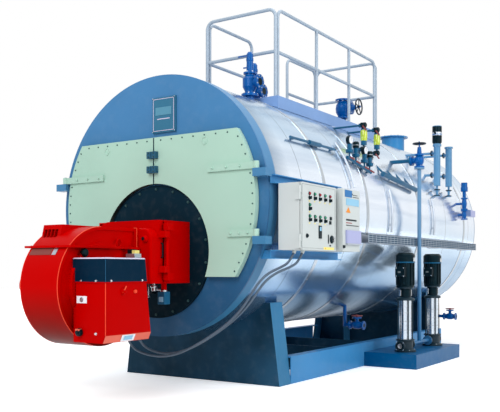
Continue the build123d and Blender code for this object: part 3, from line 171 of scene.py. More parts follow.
def paint(
    name, colour, rough=0.32, coat=0.25, shade=0.82, grain=260.0, low=None, span=(0.2, 2.6), dust=0.10,
    level=0.5, front=None, bore=None,
):
    """Sprayed enamel: slow colour drift, dust, orange peel.

    low is a darker colour at the foot of span, which is in metres up: painted shade towards the floor;
    front is a painted shadow: a darker colour on faces that look towards the burner end; bore is a height,
    a radius and a painted shade colour inside it.
    """
    n = Nodes(name)
    base = n.mix(1.0, colour, colour)
    # Painted shade: the colour darkens towards the foot of span.
    if low:
        base = n.mix(n.range(n.split()["Z"], 0.0, 1.0, *span), low, colour)
    # Painted shadow on faces that look towards the burner end.
    if front:
        facing = n.add("ShaderNodeSeparateXYZ")
        n.join(n.add("ShaderNodeNewGeometry").outputs["Normal"], facing.inputs[0])
        base = n.mix(n.range(facing.outputs["Y"], 1.0, 0.0, -0.9, -0.3), base, front)
    # Painted shade inside the bore's radius.
    if bore:
        height, radius, inner = bore
        across, rise = n.split()["X"], n.maths("SUBTRACT", n.split()["Z"], height)
        base = n.mix(n.maths("LESS_THAN", n.length(across, rise), radius), base, inner)
    darker = tuple(c * shade for c in colour)
    drift = n.range(n.noise(1.7), 0.0, 0.35, 0.35, 0.75)
    base = n.mix(drift, base, darker)
    base = n.mix(n.range(n.noise(14.0, 8.0), 0.0, dust, 0.5, 0.9), base, (0.78, 0.79, 0.78))
    n.set(
        Base_Color=base, Roughness=n.range(n.noise(5.0, 5.0), rough - 0.06, rough + 0.10),
        Coat_Weight=coat, Coat_Roughness=0.12,
    )
    peak = max(colour)
    n.set(Specular_IOR_Level=level * 0.6, Specular_Tint=rgb(tuple(0.30 + 0.70 * c / peak for c in colour)))
    n.bump(n.noise(grain, 2.0), 0.10, 0.0012)
    return n.material


def metal(name, colour, rough=0.28, stretch=(1, 1, 1), shade=0.8):
    """Bare metal: brushed or cast, with stains and a fine directional grain."""
    n = Nodes(name)
    stain = n.range(n.noise(6.0, 6.0), 0.0, 0.45, 0.4, 0.85)
    n.set(
        Base_Color=n.mix(stain, colour, tuple(c * shade for c in colour)),
        Metallic=1.0,
        Roughness=n.range(n.noise(90.0, 3.0, stretch), rough - 0.08, rough + 0.12),
    )
    n.bump(n.noise(220.0, 2.0, stretch), 0.12, 0.0008)
    return n.material


def cladding_sheet():
    """Bright rolled sheet with rings of joints and slight waves, and painted reflections: white at mid
    height, darker blue low down and at the top, streaks, and a dark band by the casing.
    """
    n = Nodes("cladding_sheet")
    y, z = n.split()[1:]
    # Painted reflection: brightest at mid height, darker blue low down and at the top, with wandering edges.
    wander = n.range(n.noise(1.1, 3.0, (1, 0.35, 1)), -0.16, 0.16, 0.3, 0.7)
    height = n.range(n.maths("ADD", z, wander), 0.0, 1.0, 0.5, 2.97)
    colour = n.ramp(height, [
        (0.0, (0.34, 0.52, 0.64)), (0.16, (0.52, 0.67, 0.80)), (0.33, (0.80, 0.88, 0.95)),
        (0.52, (0.91, 0.94, 0.98)), (0.72, (0.90, 0.94, 0.98)), (0.88, (0.66, 0.78, 0.88)),
        (1.0, (0.46, 0.60, 0.72)),
    ])
    # Painted reflection streaks.
    reflection_streak = n.range(n.noise(2.2, 5.0, (0.5, 0.16, 2.6)), 0.0, 0.32, 0.48, 0.72)
    colour = n.mix(reflection_streak, colour, (0.42, 0.58, 0.74))
    # Painted dark reflection band near the front casing.
    casing_reflection = n.range(y, 0.55, 0.0, -0.62, -0.30)
    colour = n.mix(casing_reflection, colour, (0.10, 0.34, 0.48))
    ring = n.maths("FRACT", n.maths("DIVIDE", n.maths("ADD", y, 0.60), 1.0))
    joint = n.maths("LESS_THAN", n.maths("ABSOLUTE", n.maths("SUBTRACT", ring, 0.5)), 0.004)
    colour = n.mix(n.maths("MULTIPLY", joint, 0.75), colour, (0.25, 0.33, 0.42))
    n.set(Base_Color=colour, Metallic=0.82, Roughness=n.range(n.noise(7.0, 4.0), 0.12, 0.24))
    waves = n.maths("ADD", n.noise(1.6, 2.0, (1, 0.6, 1)), n.maths("MULTIPLY", joint, -0.35))
    n.bump(waves, 0.35, 0.02)
    return n.material


def pump_metal(name, x, y):
    """A pump from foot to head: dark cast base and neck, bright drawn sleeve, dark tie rods beside it."""
    n = Nodes(name)
    px, py, pz = n.split()
    dx, dy = n.maths("SUBTRACT", px, x), n.maths("SUBTRACT", py, y)
    sleeve_reach, base_top, neck_foot = 0.0765, 0.3105, 0.764
    rods = n.maths("GREATER_THAN", n.length(dx, dy), sleeve_reach)
    base = n.maths("LESS_THAN", pz, base_top)
    neck = n.maths("GREATER_THAN", pz, neck_foot)
    dark = n.maths("MAXIMUM", rods, n.maths("MAXIMUM", base, neck))
    port = n.maths("LESS_THAN", n.length(dx, n.maths("SUBTRACT", pz, PORT_Z)), PORT_R)
    stain = n.range(n.noise(6.0, 6.0), 0.0, 0.35, 0.4, 0.85)
    bright = n.mix(stain, (0.76, 0.80, 0.84), (0.56, 0.64, 0.72))
    n.set(
        Base_Color=n.mix(port, n.mix(dark, bright, (0.03, 0.15, 0.20)), (0.97, 0.98, 1.0)),
        Metallic=n.range(dark, 1.0, 0.0),
        Roughness=n.range(dark, 0.20, 0.42),
        Specular_IOR_Level=0.3,
    )
    n.bump(n.noise(180.0, 2.0, (1, 1, 0.06)), 0.10, 0.0008)
    return n.material


def glass_green():
    """The yellow-green guard of the level gauges."""
    n = Nodes("gauge_guard")
    glow = n.mix(n.range(n.noise(18.0, 3.0), 0.0, 0.6, 0.3, 0.7), (0.80, 0.86, 0.12), (0.62, 0.74, 0.10))
    n.set(Base_Color=glow, Roughness=0.08, Coat_Weight=0.8, Coat_Roughness=0.04, Transmission_Weight=0.15)
    n.bump(n.noise(40.0, 2.0), 0.05, 0.001)
    return n.material


def braid(name, colour):
    """The ribbed sheath of a flexible conduit: fine rings across its run."""
    n = Nodes(name)
    rings = n.noise(420.0, 1.0)
    n.set(Base_Color=n.mix(rings, colour, tuple(c * 0.55 for c in colour)), Roughness=0.42, Metallic=0.35)
    n.bump(rings, 0.5, 0.002)
    return n.material


# low: painted shade, the front plate darker towards the floor.
FRONT = paint(
    "front_enamel", (0.27, 0.49, 0.68), low=(0.0, 0.20, 0.33), rough=0.38, coat=0.1, dust=0.04, level=0.4,
)
# bore: painted shade on the wall of the door's cut-out round the furnace plate.
DOOR = paint(
    "door_enamel", (0.66, 0.80, 0.74), rough=0.42, coat=0.08, shade=0.92, dust=0.05, level=0.35,
    bore=(FURNACE_Z, DOOR_CUT_R, (0.02, 0.06, 0.08)),
)
# low: painted shade, darker towards the floor.
BLACK_PLATE = paint(
    "furnace_matt", (0.04, 0.15, 0.21), rough=0.6, coat=0.0, low=(0.0, 0.02, 0.03), dust=0.03, level=0.2,
)
# low: painted shade, the drum's underside darker low down; the air box keeps its plain red.
RED = paint(
    "burner_gloss", (0.74, 0.0, 0.0), rough=0.32, coat=0.0, shade=0.90, grain=340.0, low=(0.15, 0.05, 0.0),
    span=(0.48, 0.98), dust=0.0, level=0.06,
)
RED_BOX = paint(
    "air_box_gloss", (0.72, 0.0, 0.0), rough=0.32, coat=0.0, shade=0.90, grain=340.0, dust=0.0, level=0.06,
)
# Painted highlight red for rims, edges, the damper lever and its stop.
RED_HIGHLIGHT = paint("burner_edge_highlight", (0.92, 0.30, 0.20), rough=0.30, coat=0.1, dust=0.0, level=0.4)
RED_LIGHT = paint("burner_sill", (0.88, 0.42, 0.34), rough=0.36, coat=0.1, dust=0.0, level=0.3)
BAND = paint("burner_band", (0.0, 0.12, 0.20), rough=0.36, coat=0.0, dust=0.01, level=0.15)
LILAC = paint("band_edge", (0.80, 0.78, 0.88), rough=0.35, dust=0.0)
# low: painted shade, darker towards the floor.
CASING = paint(
    "casing_enamel", (0.30, 0.52, 0.70), low=(0.16, 0.42, 0.56), rough=0.36, coat=0.12, dust=0.04,
    level=0.45,
)
# low and front: painted shade, darker low down, and a painted shadow on the saddles' faces towards the
# burner end.
BASE = paint(
    "saddle_enamel", (0.27, 0.52, 0.70), low=(0.20, 0.46, 0.62), rough=0.45, coat=0.03, dust=0.04, level=0.3,
    front=(0.04, 0.17, 0.24),
)
BEAM = paint("beam_enamel", (0.24, 0.54, 0.76), rough=0.42, coat=0.1, dust=0.05, level=0.35)
# Painted shadow of the pumps: the shelf is a darker blue than the beams.
SHELF_SHADED = paint("shelf_shaded_enamel", (0.0, 0.34, 0.54), rough=0.42, coat=0.1, dust=0.05, level=0.35)
CABINET = paint(
    "cabinet_coat", (0.77, 0.80, 0.80), rough=0.5, coat=0.0, shade=0.95, grain=700.0, dust=0.03,
    level=0.35,
)
DARK = paint("black_enamel", (0.02, 0.07, 0.09), rough=0.36, coat=0.05, dust=0.02, level=0.25)
BLUE = paint("valve_enamel", (0.0, 0.33, 0.62), rough=0.30, coat=0.2, shade=0.78, dust=0.03, level=0.4)
# low: painted shade, darker towards the floor.
RISER = paint(
    "riser_enamel", (0.38, 0.54, 0.68), rough=0.34, coat=0.1, low=(0.10, 0.40, 0.60), span=(0.3, 1.6),
    dust=0.03, level=0.4,
)
TEAL = paint("instrument_enamel", (0.05, 0.32, 0.46), rough=0.36, coat=0.2, dust=0.04, level=0.4)
PIPE = paint("chamber_enamel", (0.34, 0.54, 0.70), rough=0.38, coat=0.2, dust=0.04, level=0.4)
RAIL = paint("railing_enamel", (0.64, 0.70, 0.76), rough=0.40, dust=0.04, level=0.4)
DECK = paint("deck_enamel", (0.50, 0.63, 0.82), rough=0.48, coat=0.05, dust=0.04, level=0.35)
WHEEL = paint("wheel_lacquer", (0.03, 0.07, 0.11), rough=0.34, dust=0.02, level=0.4)
WHEEL_RED = paint("lever_red", (0.52, 0.27, 0.28), rough=0.40, dust=0.02, level=0.3)
STUD = paint("stud_grey", (0.20, 0.31, 0.32), rough=0.45, coat=0.0, dust=0.0, level=0.3)
LATCH = paint("latch_enamel", (0.16, 0.34, 0.44), rough=0.40, coat=0.05, dust=0.02, level=0.3)
WHITE = paint("bare_label", (0.90, 0.92, 0.95), rough=0.45, coat=0.0, shade=0.96, dust=0.0)
YELLOW = paint("warning_label", (0.93, 0.88, 0.52), rough=0.45, coat=0.0, dust=0.0)
ORANGE = paint("warning_triangle", (0.93, 0.58, 0.20), rough=0.45, coat=0.0, dust=0.0)
LABEL_BLUE = paint("blue_label", (0.16, 0.44, 0.68), rough=0.4, coat=0.0, dust=0.0)
LABEL_CYAN = paint("display_panel", (0.54, 0.76, 0.88), rough=0.3, coat=0.3, dust=0.0)
LAMP_GREEN = paint("lamp_green", (0.16, 0.52, 0.40), rough=0.2, coat=0.5, dust=0.0)
LAMP_RED = paint("lamp_red", (0.60, 0.16, 0.20), rough=0.2, coat=0.5, dust=0.0)
PLATE_GREY = paint("brow_label", (0.50, 0.26, 0.24), rough=0.4, coat=0.0, dust=0.0, level=0.3)
LABEL_CYAN_DULL = paint("plate_panel", (0.34, 0.56, 0.66), rough=0.4, coat=0.1, dust=0.0, level=0.3)
SERVO = paint("servo_blue", (0.12, 0.36, 0.50), rough=0.35, coat=0.2, dust=0.0, level=0.4)
SEAM = paint("seam_shade", (0.42, 0.46, 0.47), rough=0.6, coat=0.0, dust=0.0, level=0.2)
POCKET = paint("pocket_sheet", (0.66, 0.68, 0.84), rough=0.4, coat=0.1, dust=0.0)
BASKET_SHADE = paint("basket_shade", (0.26, 0.36, 0.44), rough=0.7, coat=0.0, dust=0.02, level=0.2)
PLATE_TEAL = paint("name_plate", (0.18, 0.42, 0.54), rough=0.34, coat=0.3, dust=0.03, level=0.4)
SOOT = metal("tube_steel", (0.36, 0.35, 0.35), rough=0.55)
ZINC = metal("zinc", (0.70, 0.73, 0.77), rough=0.42)
STEEL = metal("stainless", (0.74, 0.77, 0.80), rough=0.20, stretch=(1, 1, 0.06))
CHROME = metal("bolt_steel", (0.78, 0.80, 0.82), rough=0.24)
CLAD = cladding_sheet()
GUARD = glass_green()
SHEATH = braid("conduit_sheath", (0.36, 0.44, 0.52))

# The finish of each slot, and of the nodes that look otherwise than their slot
SLOT_FINISH = {
    "front_blue": FRONT, "door_green": DOOR, "furnace_black": BLACK_PLATE, "burner_red": RED,
    "cladding": CLAD, "tube_steel": SOOT, "base_teal": BASE, "base_blue": BEAM, "cabinet_grey": CABINET,
    "panel_zinc": ZINC, "valve_blue": BLUE, "wheel_black": WHEEL, "pump_steel": STEEL,
    "pump_black": DARK, "railing_grey": RAIL, "deck_blue": DECK, "cable_black": SHEATH,
    "instrument_teal": TEAL, "chamber_blue": PIPE,
}
NODE_FINISH = {
    "pump_1_body": pump_metal("pump_1_metal", PUMP_X, PUMP_YS[0]),
    "pump_2_body": pump_metal("pump_2_metal", PUMP_X, PUMP_YS[1]),
    "feed_riser": RISER, "feed_branch": TEAL, "burner_air_box": RED_BOX, "burner_motor": RED,
    "front_casing": CASING, "hinge_lugs": CASING, "pump_shelf": SHELF_SHADED, "name_board": PLATE_TEAL,
    "cladding_straps": STEEL, "tube_plate": SOOT,
}


def finish_nodes():
    """Gives each carried-over CAD node the finish of its slot, smooth where it is round."""
    slots = {part["node"]: part["material_slot"] for part in frame["record"]["subparts"]}
    for name, obj in nodes.items():
        obj.data.materials.clear()
        obj.data.materials.append(NODE_FINISH.get(name) or SLOT_FINISH[slots[name]])
        obj.data.shade_smooth()
        obj.data.set_sharp_from_angle(angle=radians(32))


# Mesh builders
def add_object(name, data):
    """A new object in the scene."""
    obj = bpy.data.objects.new(name, data)
    bpy.context.scene.collection.objects.link(obj)
    return obj


def piece(name, bm, materials, body="root", bevel=0.0):
    """Turns a bmesh into a piece that rides on a body."""
    bmesh.ops.recalc_face_normals(bm, faces=bm.faces)
    mesh = bpy.data.meshes.new(name)
    bm.to_mesh(mesh)
    bm.free()
    obj = add_object(name, mesh)
    for material in materials:
        mesh.materials.append(material)
    mesh.shade_smooth()
    mesh.set_sharp_from_angle(angle=radians(35))
    if bevel:
        modifier = obj.modifiers.new("edges", "BEVEL")
        modifier.width = bevel
        modifier.segments = 2
        modifier.limit_method = "ANGLE"
    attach(obj, body)
    return obj


def add_box(bm, low, high, index=0):
    verts = bmesh.ops.create_cube(bm, size=1.0)["verts"]
    low, high = Vector(low), Vector(high)
    for v in verts:
        v.co = Vector([low[i] + (v.co[i] + 0.5) * (high[i] - low[i]) for i in range(3)])
    for face in {f for v in verts for f in v.link_faces}:
        face.material_index = index


def turn_to(direction):
    return Vector(direction).to_track_quat("Z", "Y").to_matrix().to_4x4()


def disc(radius, depth):
    """The profile of a plain round disc."""
    return [(0, 0), (radius, 0), (radius, depth), (0, depth)]


def band(inner, outer, height, slant=0.0):
    """The profile of an open sleeve whose outer edges slant in."""
    return [(inner, 0), (outer, slant), (outer, height - slant), (inner, height)]


def around(origin, offsets):
    """Points that are given by their distance from an origin."""
    return [[a + b for a, b in zip(origin, offset)] for offset in offsets]


def on_drum(radius, angle):
    """The y and z of a point on a circle round the fan drum's axis."""
    return DRUM_Y + radius * cos(radians(angle)), DRUM_Z + radius * sin(radians(angle))


def add_lathe(bm, origin, direction, profile, steps=28, index=0):
    """Turns (radius, height) pairs about a line from origin along direction."""
    place = Matrix.Translation(Vector(origin)) @ turn_to(direction)
    turns = [2 * pi * k / steps for k in range(steps)]
    rings = []
    for radius, height in profile:
        if radius < 1e-6:
            ring = [(0, 0, height)]
        else:
            ring = [(radius * cos(turn), radius * sin(turn), height) for turn in turns]
        rings.append([bm.verts.new(place @ Vector(point)) for point in ring])
    for lower, upper in zip(rings, rings[1:]):
        for k in range(steps):
            around_face = ((lower, k), (lower, k + 1), (upper, k + 1), (upper, k))
            corners = [ring[at % len(ring)] for ring, at in around_face]
            unique = list(dict.fromkeys(corners))
            if len(unique) > 2:
                bm.faces.new(unique).material_index = index


def add_rod(bm, start, end, radius, steps=16, index=0):
    line = Vector(end) - Vector(start)
    add_lathe(bm, start, line, disc(radius, line.length), steps, index)


def add_bolt(bm, at, direction, size=0.012, index=0):
    """A hexagon head on a washer."""
    head = [(0, 0), (size, 0.0), (size, size * 0.8), (size * 0.85, size), (0, size)]
    add_lathe(bm, at, direction, disc(size * 1.15, size * 0.2), 14, index)
    add_lathe(bm, at, direction, head, 6, index)


def add_bolts(bm, xs, ys, zs, direction, size, index=0):
    """A bolt at every crossing of the given x, y and z."""
    for at in product(xs, ys, zs):
        add_bolt(bm, at, direction, size, index)


def bolt_ring(bm, centre, direction, radius, count, size=0.011, index=0):
    place = Matrix.Translation(Vector(centre)) @ turn_to(direction)
    for k in range(count):
        turn = 2 * pi * (k + 0.5) / count
        add_bolt(bm, place @ Vector((radius * cos(turn), radius * sin(turn), 0)), direction, size, index)


def tube_curve(name, points, radius, material, body="root"):
    """A smooth pipe or cable through its control points."""
    curve = bpy.data.curves.new(name, "CURVE")
    curve.dimensions = "3D"
    curve.bevel_depth = radius
    curve.bevel_resolution = 5
    curve.resolution_u = 8
    curve.use_fill_caps = True
    spline = curve.splines.new("NURBS")
    spline.points.add(len(points) - 1)
    for point, at in zip(spline.points, points):
        point.co = (*at, 1.0)
    spline.order_u = 3
    spline.use_endpoint_u = True
    obj = add_object(name, curve)
    curve.materials.append(material)
    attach(obj, body)
    return obj


def add_prism(bm, corners, along, index=0):
    """A plate: a flat outline swept along a vector."""
    along = Vector(along)
    near = [bm.verts.new(Vector(c)) for c in corners]
    far = [bm.verts.new(Vector(c) + along) for c in corners]
    faces = [bm.faces.new(near), bm.faces.new(list(reversed(far)))]
    for k in range(len(near)):
        after = (k + 1) % len(near)
        faces.append(bm.faces.new([near[k], near[after], far[after], far[k]]))
    for face in faces:
        face.material_index = index


def add_ring(bm, centre, direction, radius, tube, steps=36, sides=8, index=0):
    """A round wire bent into a ring."""
    place = Matrix.Translation(Vector(centre)) @ turn_to(direction)
    loops = []
    for k in range(steps):
        turn = 2 * pi * k / steps
        loop = []
        for m in range(sides):
            lean = 2 * pi * m / sides
            reach = radius + tube * cos(lean)
            loop.append(
                bm.verts.new(place @ Vector((reach * cos(turn), reach * sin(turn), tube * sin(lean)))),
            )
        loops.append(loop)
    for k in range(steps):
        for m in range(sides):
            a, b = loops[k], loops[(k + 1) % steps]
            bm.faces.new([a[m], a[(m + 1) % sides], b[(m + 1) % sides], b[m]]).material_index = index


# Burner
def air_box_lid():
    """The dark band round the lid, its folded edge in light lilac as a painted highlight, a dim painted
    highlight down its front corner, and its screws.
    """
    low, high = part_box("burner_air_box")
    t = LABEL_THICK
    foot, brow = high.z - 0.190, high.z - 0.009
    rear = low.y + 0.465
    bm = bmesh.new()
    add_box(bm, (low.x + 0.002, low.y - t, foot), (high.x + t, low.y, brow))
    side = ((low.y, foot), (rear + 0.022, foot), (rear, brow), (low.y, brow))
    add_prism(bm, [(high.x, y, z) for y, z in side], (t, 0, 0))
    add_box(bm, (low.x + 0.002, low.y + 0.010, high.z), (high.x - 0.010, rear, high.z + t))
    # Painted highlight: the folded top edge in light lilac.
    fold = ((low.y - t, brow), (low.y + 0.009, high.z + t), (low.y + 0.012, high.z), (low.y + 0.002, brow))
    add_prism(bm, [(low.x + 0.002, y, z) for y, z in fold], (high.x - low.x - 0.004, 0, 0), 1)
    fold = (
        (high.x + t, brow), (high.x - 0.009, high.z + t), (high.x - 0.012, high.z), (high.x - 0.002, brow),
    )
    add_prism(bm, [(x, low.y, z) for x, z in fold], (0, rear - low.y, 0), 1)
    add_bolts(bm, (low.x + 0.094, low.x + 0.258), [low.y - t], [foot + 0.008], FORE, 0.008, 2)
    add_bolts(bm, [high.x + t], (low.y + 0.060, rear - 0.040), [foot + 0.008], RIGHT, 0.008, 2)
    # Painted highlight: a thin dim rod down the lid's front corner.
    add_rod(bm, (high.x + t, low.y - t, foot), (high.x + t, low.y - t, brow), 0.0016, 8, 3)
    piece("air_box_lid", bm, [BAND, LILAC, CHROME, SERVO], "burner")


def air_box_fittings():
    """The bright sill with its bare label, the small plate, the knobs, the damper lever and a painted
    highlight down the box's corner.
    """
    low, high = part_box("burner_air_box")
    side, front = high.x - 0.008, low.y + 0.008
    corner = (side, front, low.z)
    slope = [(0.001, 0, 0.061), (-0.0265, 0, 0.001), (-0.030, 0, 0.004), (-0.003, 0, 0.061)]
    label = [(0.001, 0.190, 0.057), (-0.024, 0.190, 0.005), (-0.022, 0.190, 0.003), (0.003, 0.190, 0.055)]
    panel = [(0.0025, 0.215, 0.047), (-0.0135, 0.215, 0.015), (-0.012, 0.215, 0.014), (0.004, 0.215, 0.046)]
    bm = bmesh.new()
    for index, (outline, width) in enumerate(((slope, 0.538), (label, 0.155), (panel, 0.100))):
        add_prism(bm, around(corner, outline), (0, width, 0), index)
    add_box(bm, (0.253, front - 0.003, 0.858), (0.364, front, 0.915), 1)
    add_lathe(bm, (0.308, front - 0.003, 0.886), FORE, disc(0.020, 0.002), 24, 5)
    knob = [(0, 0), (0.030, 0), (0.034, 0.010), (0.030, 0.030), (0.016, 0.034), (0.016, 0.044), (0, 0.046)]
    add_lathe(bm, (0.292, front, 0.627), FORE, knob, 24, 3)
    add_box(bm, (0.270, front - 0.036, 0.640), (0.314, front - 0.004, 0.655))
    add_bolt(bm, (0.462, front, 0.621), FORE, 0.010, 4)
    hub = [(0, 0), (0.026, 0), (0.026, 0.010), (0.014, 0.016), (0.014, 0.030), (0, 0.032)]
    add_lathe(bm, (side, -1.857, 0.948), RIGHT, hub, 24, 6)
    # Painted highlight: the damper lever and its stop are red painted lighter, in the highlight red.
    lever = ((-1.874, 0.944), (-1.862, 0.938), (-1.826, 0.990), (-1.834, 0.996))
    add_prism(bm, [(side + 0.012, y, z) for y, z in lever], (0.006, 0, 0), 7)
    stop = [(0, 0), (0.015, 0), (0.015, 0.014), (0.008, 0.020), (0, 0.020)]
    add_lathe(bm, (side, -1.715, 0.948), RIGHT, stop, 20, 7)
    # Painted highlight: a thin light red rod down the box's front right corner.
    corner_highlight = (side - 0.0015, front + 0.0015)
    add_rod(bm, (*corner_highlight, low.z + 0.062), (*corner_highlight, high.z - 0.190), 0.0028, 12, 7)
    finishes = [RED_LIGHT, WHITE, LABEL_CYAN, DARK, CHROME, ZINC, RED, RED_HIGHLIGHT]
    piece("air_box_fittings", bm, finishes, "burner", bevel=0.0012)


def air_switch():
    """The pressure switch, its lifting eye and the knob by the lid."""
    bm = bmesh.new()
    add_box(bm, (0.272, -1.500, 1.225), (0.372, -1.415, 1.262))
    add_box(bm, (0.280, -1.490, 1.262), (0.330, -1.430, 1.300), 1)
    add_box(bm, (0.330, -1.488, 1.262), (0.366, -1.432, 1.290), 2)
    add_rod(bm, (0.268, -1.450, 1.240), (0.205, -1.450, 1.240), 0.014, 16, 1)
    add_ring(bm, (0.228, -1.540, 1.352), (1, 0.2, 0), 0.034, 0.007, 30, 8, 3)
    add_rod(bm, (0.228, -1.540, 1.318), (0.228, -1.540, 1.3205), 0.012, 12, 3)
    knob = [(0, 0), (0.018, 0), (0.018, 0.020), (0.034, 0.026), (0.036, 0.048), (0.026, 0.058), (0, 0.060)]
    add_lathe(bm, (0.203, -1.955, 1.262), RIGHT, knob, 24, 1)
    piece("air_switch", bm, [ZINC, DARK, YELLOW, RED], "burner", bevel=0.002)


def burner_plates():
    """Dark plates set back in the air slots as their painted shade, the bare plate on the drum's brow and
    the bolts of the flanges.
    """
    low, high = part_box("burner_scroll")
    slot_pitch, plate_reach, plate_step = 0.042, 0.5015, 2.2
    bm = bmesh.new()
    # Painted shade: dark plates set back in the four air slots.
    for k in range(4):
        x = -0.112 + (k - 1.5) * slot_pitch
        add_box(bm, (x - 0.0168, -1.9460, 1.3925), (x + 0.0168, -1.9445, 1.4595))
    for x0, x1, index in ((-0.190, 0.060, 1), (0.072, 0.118, 2)):
        for k in range(4):
            (y0, z0), (y1, z1) = [on_drum(plate_reach, 149.0 - plate_step * each) for each in (k, k + 1)]
            corners = [(x0, y0, z0), (x1, y0, z0), (x1, y1, z1), (x0, y1, z1)]
            add_prism(bm, corners, (0, -0.0015, 0.0008), index)
    flange_x = (low.x + 0.014, high.x - 0.014)
    flange_y = [low.y + 0.150 + 0.130 * k for k in range(6)]
    add_bolts(bm, flange_x, flange_y, [1.320], UP, 0.0055, 4)
    add_bolts(bm, flange_x, flange_y, [1.302], DOWN, 0.0055, 4)
    add_bolts(bm, (-0.345, 0.345), [-1.195], (1.040, 1.160, 1.290, 1.410), FORE, 0.010, 4)
    add_bolts(bm, (-0.230, 0.230), [-1.330], (1.06, 1.20, 1.38), FORE, 0.007, 4)
    piece("burner_plates", bm, [DARK, PLATE_GREY, ZINC, CHROME, RED], "burner")


def drum_edges():
    """Painted highlights: light red wires along the drum's two rims and along the duct collar's edges."""
    for number, x in enumerate((-0.2135, 0.2135), start=1):
        points = [(x, *on_drum(0.4985, angle)) for angle in range(92, 262, 5)]
        tube_curve(f"drum_rim_highlight_{number}", points, 0.0034, RED_HIGHLIGHT, "burner")
    y, side, top = -1.3290, 0.2440, 1.4890
    bm = bmesh.new()
    add_rod(bm, (side, y, 1.010), (side, y, top - 0.005), 0.0030, 12)
    add_rod(bm, (-0.215, y, top), (side, y, top), 0.0030, 12)
    piece("collar_highlights", bm, [RED_HIGHLIGHT], "burner")


def burner_handle():
    """The bow handle on the block's side and the sight port with its cap on the front."""
    low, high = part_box("burner_housing")
    x, z = high.x - 0.060, 1.395
    port = [(0, 0), (0.030, 0), (0.030, 0.014), (0.022, 0.020), (0.022, 0.034), (0, 0.036)]
    bm = bmesh.new()
    add_lathe(bm, (x, low.y, z), FORE, port, 24)
    add_lathe(bm, (x, low.y - 0.034, z), FORE, disc(0.016, 0.004), 20, 1)
    piece("sight_port", bm, [RED, DARK], "burner", bevel=0.001)
    bow = ((-0.002, 1.230), (0.014, 1.230), (0.018, 1.245), (0.018, 1.345), (0.014, 1.360), (-0.002, 1.360))
    points = [(high.x + reach, -1.160, height) for reach, height in bow]
    tube_curve("block_handle", points, 0.006, DARK, "burner")


def motor_fittings():
    """The burner motor's fan guard, its flange bolts and the screws of its terminal box."""
    low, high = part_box("burner_motor")
    y, z = DRUM_Y, DRUM_Z
    bm = bmesh.new()
    add_lathe(bm, (low.x, y, z), LEFT, [(0, -0.001), (0.096, -0.001), (0.096, 0.0008), (0, 0.0008)], 36, 1)
    for radius in (0.022, 0.042, 0.062, 0.082):
        add_ring(bm, (low.x - 0.002, y, z), RIGHT, radius, 0.0028, 36, 6)
    for angle in range(0, 360, 45):
        add_rod(bm, (low.x - 0.003, y, z), (low.x - 0.003, *on_drum(0.092, angle)), 0.0028, 8)
    bolt_ring(bm, (-0.215, y, z), LEFT, 0.178, 8, 0.009, 2)
    add_bolts(bm, (-0.442, -0.358), (y - 0.042, y + 0.042), [high.z], UP, 0.006, 2)
    piece("motor_fittings", bm, [RED, DARK, CHROME], "burner")


def servo_cover():
    """The gas valve's blue actuator cover and the bright linkage under the mounting box."""
    y = -1.055
    knob = [
        (0, 0), (0.026, 0), (0.026, 0.030), (0.036, 0.034),
        (0.036, 0.046), (0.014, 0.050), (0.014, 0.072), (0, 0.072),
    ]
    bm = bmesh.new()
    add_box(bm, (0.285, -1.0945, 0.8125), (0.3645, -1.0155, 0.9265))
    add_box(bm, (0.300, -1.0975, 0.835), (0.350, -1.0930, 0.880), 3)
    add_lathe(bm, (0.325, y, 0.925), UP, disc(0.034, 0.016), 24, 1)
    add_lathe(bm, (0.210, y, 0.930), UP, knob, 24, 1)
    add_rod(bm, (0.210, y, 0.944), (0.290, y, 0.944), 0.009, 14, 1)
    add_box(bm, (0.196, y - 0.020, 0.905), (0.224, y + 0.020, 0.930), 2)
    add_rod(bm, (0.150, -1.062, 0.992), (0.150, -1.062, 0.880), 0.006, 12, 1)
    add_box(bm, (0.140, -1.072, 0.870), (0.160, -1.050, 0.886), 1)
    piece("servo_cover", bm, [SERVO, CHROME, DARK, LABEL_CYAN], bevel=0.003)


# Front
def name_plate():
    """The bare name plate: a light frame line and two raised bare panels, with its corner screws."""
    low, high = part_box("name_board")
    y = low.y
    inset, w = 0.014, 0.005
    x0, x1, z0, z1 = low.x + inset, high.x - inset, low.z + inset, high.z - inset
    bm = bmesh.new()
    for left, foot, right, top in (
        (x0, z0, x1, z0 + w), (x0, z1 - w, x1, z1), (x0, z0, x0 + w, z1), (x1 - w, z0, x1, z1),
    ):
        add_box(bm, (left, y - 0.002, foot), (right, y, top))
    add_box(bm, (x0 + 0.03, y - 0.003, z0 + 0.150), (x1 - 0.03, y, z0 + 0.225), 1)
    add_box(bm, (x0 + 0.05, y - 0.002, z0 + 0.110), (x1 - 0.05, y, z0 + 0.118))
    add_bolts(bm, (low.x + 0.008, high.x - 0.008), [y], (low.z + 0.008, high.z - 0.008), FORE, 0.0045, 2)
    piece("name_plate", bm, [LILAC, LABEL_CYAN_DULL, CHROME])


def furnace_studs():
    """The ring of nuts on the furnace plate and the rounded edge of its rim."""
    low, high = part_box("furnace_plate")
    centre = ((low.x + high.x) / 2, low.y, (low.z + high.z) / 2)
    radius = (high.x - low.x) / 2
    bm = bmesh.new()
    bolt_ring(bm, centre, FORE, radius - 0.034, 18, 0.0115)
    add_ring(bm, centre, BACK, radius - 0.004, 0.004, 96, 8, 1)
    piece("furnace_studs", bm, [STUD, BLACK_PLATE])


